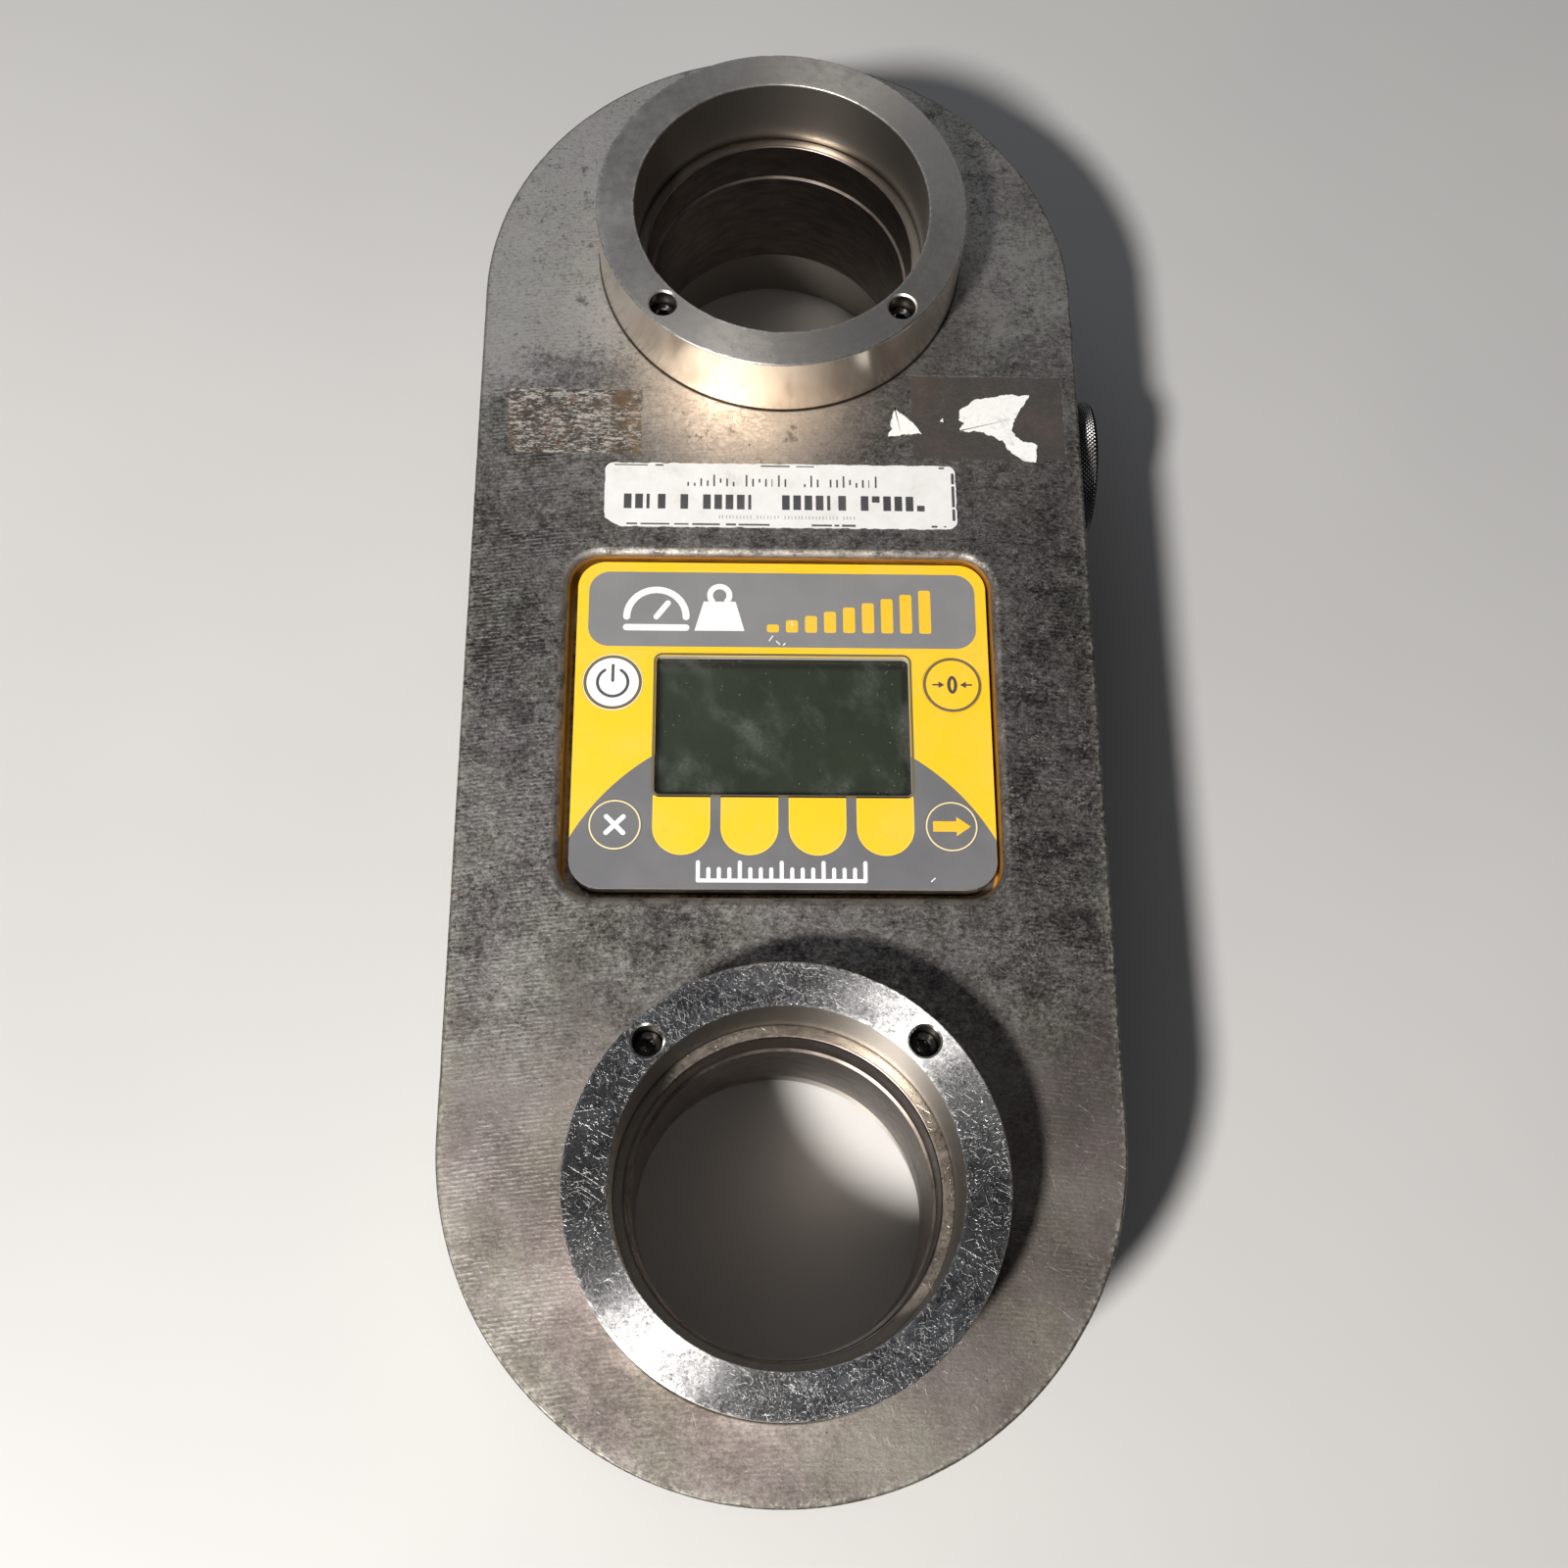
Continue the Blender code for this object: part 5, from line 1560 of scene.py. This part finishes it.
def print_key_signs(films):
    """A power sign, a zero between arrows, a cross and an arrow, each moving with its key."""
    x, y, _ = middle("power_key")
    width = 0.75 * MM
    sign = [arc_stroke(x, y, 3.85 * MM, 122, 418, width)]
    sign.append(capsule(x, y + 0.4 * MM, x, y + 4.6 * MM, width))
    ink("power_sign", sign, films["dark"], "power_key")

    x, y, _ = middle("zero_key")
    zero = band(ellipse(x, y, 1.3 * MM, 2.45 * MM), ellipse(x, y, 0.42 * MM, 1.55 * MM))
    show("zero_sign", zero, films["dark"], "zero_key")
    arrows = []
    for side in (-1, 1):
        tip, head = x + side * 2.0 * MM, side * 1.5 * MM
        arrows.append(capsule(x + side * 4.9 * MM, y, tip + side * 0.9 * MM, y, 0.45 * MM))
        arrows.append([(tip, y), (tip + head, y + 0.9 * MM), (tip + head, y - 0.9 * MM)])
    ink("zero_arrows", arrows, films["dark"], "zero_key")

    x, y, _ = middle("escape_key")
    reach = 2.1 * MM
    cross = []
    for rise in (reach, -reach):
        cross.append(capsule(x - reach, y - rise, x + reach, y + rise, 1.2 * MM))
    ink("escape_cross", cross, films["white"], "escape_key")

    x, y, _ = middle("next_key")
    half = ((4.8, 0), (1.2, 2.5), (1.2, 1.35), (-4.6, 1.35))
    arrow = [(x + u * MM, y + v * MM) for u, v in half]
    arrow += [(x + u * MM, y - v * MM) for u, v in reversed(half[1:])]
    ink("next_arrow", [arrow], films["yellow_ink"], "next_key")


# ---- label and torn paper -------------------------------------------------------------------------


def dense(outline, spacing):
    """The same outline with points no further apart than spacing."""
    points = []
    for start, end in zip(outline, outline[1:] + outline[:1]):
        points += divided(start, end, max(1, round(math.dist(start, end) / spacing)))
    return points


def frayed(outline, amount, size, seed):
    """Moves each point of a dense outline in by up to amount, so that its edge is torn."""
    points = []
    count = len(outline)
    for i, (x, y) in enumerate(outline):
        (x0, y0), (x1, y1) = outline[i - 1], outline[(i + 1) % count]
        along = Vector((x1 - x0, y1 - y0)).normalized()
        pull = noise.noise(Vector((x / size, y / size, seed)))
        pull += 0.5 * noise.noise(Vector((3 * x / size, 3 * y / size, seed)))
        depth = amount * max(0.0, pull + 0.25)
        points.append((x - along.y * depth, y + along.x * depth))
    return points


def sticker(name, outline, thick, material, node=None):
    """A thin flat piece stuck to the link's face."""
    bm = prism(outline, FRONT + 0.01 * MM, FRONT + thick)
    show(name, bm, material, node=node)


def worn_bar(draw, x, y, width, height):
    """A printed bar, or what is left of it: some have lost one end, or a slice."""
    fate = draw.random()
    if fate < 0.10:
        return []
    if fate < 0.22:
        share = draw.uniform(0.35, 0.75)
        side = draw.choice((-1, 1))
        y, height = y + side * height * (1 - share) / 2, height * share
    elif fate < 0.32:
        share = draw.uniform(0.35, 0.6)
        x, width = x - width * (1 - share) / 2, width * share
    return [rounded_rect(width, height, 0.12 * MM, x, y, 3)]


def broken_line(draw, left, right, y, width):
    """Dashes of random lengths from left to right."""
    dashes = []
    x = left
    while x < right:
        length = draw.uniform(1.0, 9.0) * MM
        end = min(x + length, right)
        if draw.random() < 0.6 and end - x > 0.5 * MM:
            thick = width * draw.uniform(0.5, 1.0)
            dashes.append(rounded_rect(end - x, thick, 0.1 * MM, (x + end) / 2, y, 2))
        x = end + draw.uniform(0.3, 2.0) * MM
    return dashes


def make_label_print(level, dark, pale):
    """The label's print is a generic scale: ticks, a row of blocks and a broken frame."""
    draw = random.Random(31)
    ticks = []
    for number in range(31):
        x = LINK_X + (-26 + 1.7 * number) * MM
        tall = 3.4 * MM if number % 5 == 0 else 2.3 * MM
        ticks += worn_bar(draw, x, 56.2 * MM + tall / 2 - 1.2 * MM, 0.45 * MM, tall)
    ink("label_ticks", ticks, dark, level=level)

    blocks = []
    for number in range(28):
        if number % 7 == 6:
            continue
        x = LINK_X + (-40 + 2.95 * number) * MM
        blocks += worn_bar(draw, x, 50.4 * MM, 2.0 * MM, 4.3 * MM)
    right = LABEL_HIGH.x - 3 * MM
    blocks += broken_line(draw, LABEL_LOW.x + 2.5 * MM, right, LABEL_HIGH.y - 0.75 * MM, 0.55 * MM)
    blocks += broken_line(draw, LABEL_LOW.x + 6 * MM, right, LABEL_LOW.y + 0.85 * MM, 0.6 * MM)
    edge_x = LABEL_HIGH.x - 0.9 * MM
    for low, high in ((2.6, 6.0), (6.6, 12.8), (13.4, 16.6)):
        y = LABEL_LOW.y + (low + high) / 2 * MM
        blocks.append(rounded_rect(0.75 * MM, (high - low) * MM, 0.2 * MM, edge_x, y, 3))
    ink("label_blocks", blocks, dark, level=level)

    fine = []
    for number in range(40):
        fine += worn_bar(draw, LINK_X + (-16 + 0.9 * number) * MM, 46.0 * MM, 0.35 * MM, 1.0 * MM)
    ink("label_fine_ticks", fine, pale, level=level)


def make_label(paper, dark, pale):
    """The worn label, with its lower left corner torn off, and its print."""
    width, height = LABEL_HIGH.x - LABEL_LOW.x, LABEL_HIGH.y - LABEL_LOW.y
    notch_x, notch_y = LABEL_LOW.x + 4.5 * MM, LABEL_LOW.y + 2.6 * MM
    outline = []
    for x, y in rounded_rect(width, height, 2.5 * MM, LABEL.x, LABEL.y, 6):
        if x < notch_x and y < notch_y:
            x = max(x, LABEL_LOW.x + (notch_y - y) * 1.7)
        outline.append((x, y))
    outline = frayed(dense(outline, 0.4 * MM), 0.35 * MM, 2.5 * MM, 3.0)
    sticker("label_worn", outline, LABEL_THICK, paper, "capacity_label")
    make_label_print(FRONT + LABEL_THICK, dark, pale)


def make_scraps(material):
    """The torn label's scraps."""
    for number, points in enumerate(SCRAPS):
        outline = dense([(LINK_X + x * MM, y * MM) for x, y in points], 0.35 * MM)
        outline = frayed(outline, 0.7 * MM, 2.0 * MM, 7.0 + number)
        sticker(f"torn_scrap_{number + 1}", outline, 0.12 * MM, material)


# ---- everything under the panel --------------------------------------------------------------------


def finish_hidden_nodes(inner_steel, brass):
    """Gives each CAD node that keeps its own shape its material."""
    rubber = moulded_plastic("seal_rubber", (0.018, 0.018, 0.018), 0.75)
    black = moulded_plastic("carrier_plastic", (0.03, 0.03, 0.032))
    clear = moulded_plastic("clear_film", (0.55, 0.56, 0.52), 0.3)
    aluminium = simple_steel("plate_aluminium", (0.62, 0.63, 0.64), 0.32, 4)
    looks = {
        "display_window": window_plastic(),
        "display_glass": display_face(),
        "display_carrier": black,
        "keypad_spacer": clear,
        "keypad_circuit": clear,
        "panel_plate": aluminium,
        "panel_gasket": rubber,
        "circuit_board": board_resin(),
        "gauge_lead": rubber,
        "battery_lead": rubber,
        "battery_liner": black,
        "battery_contact": brass,
    }
    gauge = foil_gauge()
    wrap = cell_wrap()
    for number in range(1, 5):
        looks[f"panel_screw_{number}"] = inner_steel
        looks[f"board_screw_{number}"] = inner_steel
        looks[f"board_standoff_{number}"] = brass
        looks[f"strain_gauge_{number}"] = gauge
    for cell in ("inner_battery_cell", "outer_battery_cell"):
        looks[cell] = wrap
    for node, material in looks.items():
        obj = frame["nodes"][node]
        obj.data.materials.clear()
        obj.data.materials.append(material)


# ---- floor, light and camera -----------------------------------------------------------------------


def make_stage():
    """A plain pale floor just under the rear rings."""
    bm = bmesh.new()
    bmesh.ops.create_grid(bm, x_segments=1, y_segments=1, size=3.0)
    bmesh.ops.translate(bm, verts=bm.verts, vec=(0, 0, -0.2 * MM))
    mesh = bpy.data.meshes.new("floor")
    bm.to_mesh(mesh)
    bm.free()
    floor = bpy.data.objects.new("floor", mesh)
    look = Look("floor_paper", (0.55, 0.55, 0.55), 0.6)
    tone = look.noise(300, 3.0)
    look.set("Base Color", look.colours(tone, (0.3, (0.50, 0.50, 0.51)), (0.7, (0.56, 0.56, 0.56))))
    mesh.materials.append(look.material)
    bpy.context.scene.collection.objects.link(floor)


def add_light(name, place, target, size, power, colour):
    data = bpy.data.lights.new(name, "AREA")
    data.shape = "DISK"
    data.size = size
    data.energy = power
    data.color = colour
    light = bpy.data.objects.new(name, data)
    light.location = place
    light.rotation_mode = "QUATERNION"
    light.rotation_quaternion = (target - place).to_track_quat("-Z", "Y")
    bpy.context.scene.collection.objects.link(light)


def make_light():
    """A soft grey room, lighter to the left, with a small warm key light and a wide cool fill."""
    world = bpy.data.worlds.new("soft_room")
    world.use_nodes = True
    bpy.context.scene.world = world
    tree = world.node_tree
    place = add_node(tree, "ShaderNodeTexCoord", {}).outputs["Generated"]
    across = add_node(tree, "ShaderNodeSeparateXYZ", {0: place}).outputs[0]
    inputs = {0: across, 1: -0.5, 2: 0.5}  # 1 at the left and 0 at the right
    to_left = add_node(tree, "ShaderNodeMath", inputs, operation="MULTIPLY_ADD").outputs[0]
    ramp = add_node(tree, "ShaderNodeValToRGB", {0: to_left})
    ramp.color_ramp.elements[0].color = (0.17, 0.17, 0.18, 1)
    ramp.color_ramp.elements[1].color = (0.44, 0.44, 0.445, 1)
    background = tree.nodes["Background"]
    tree.links.new(ramp.outputs[0], background.inputs["Color"])
    background.inputs["Strength"].default_value = 0.27
    centre = Vector((LINK_X, 0, FRONT))
    towards_key = Vector((-0.383, -0.507, 0.773))
    add_light("key", centre + 1.2 * towards_key, centre, 0.13, 22.0, (1.0, 0.965, 0.91))
    add_light("fill", centre + Vector((-0.5, 0.9, 1.1)), centre, 1.2, 2.0, (0.92, 0.96, 1.0))


def make_camera():
    """The photo's viewpoint, fitted to the outlines of the link, its rings and its panel."""
    data = bpy.data.cameras.new("camera")
    data.lens = 41.215
    data.sensor_width = 36
    camera = bpy.data.objects.new("camera", data)
    camera.location = (-0.01695, -0.17634, 0.48975)
    camera.rotation_euler = [math.radians(angle) for angle in (19.575, -1.861, -0.264)]
    bpy.context.scene.collection.objects.link(camera)
    bpy.context.scene.camera = camera


bpy.context.scene.view_settings.view_transform = "Standard"
make_camera()
make_stage()
make_light()

SCREW = simple_steel("blackened_screw", (0.06, 0.06, 0.06), 0.35)
BRASS = simple_steel("contact_brass", (0.62, 0.44, 0.18), 0.3)
FILMS = {name: printed_film(name + "_print", colour) for name, colour in FILM_COLOURS.items()}
FILMS["overlay"] = overlay_film()

make_link(link_steel())
for number, ring in enumerate(RINGS):
    make_ring(ring, ring_steel(ring, silvery="lower" in ring), 20 + 2 * number)
for ring in RINGS:
    for screw in screws_in(ring):
        make_ring_screw(screw, SCREW)
make_cap(cap_steel())
make_seal(moulded_plastic("cap_seal_rubber", (0.016, 0.016, 0.016), 0.7))
make_spring(simple_steel("spring_wire", (0.55, 0.54, 0.52), 0.25))
make_overlay(FILMS)
make_header_icons(FILMS)
make_nicks(FILMS)
make_lower_rule(FILMS)
make_keys(FILMS)
print_key_signs(FILMS)
make_label(label_paper(), FILMS["dark"], FILMS["faded"])
make_scraps(torn_paper())
finish_hidden_nodes(SCREW, BRASS)
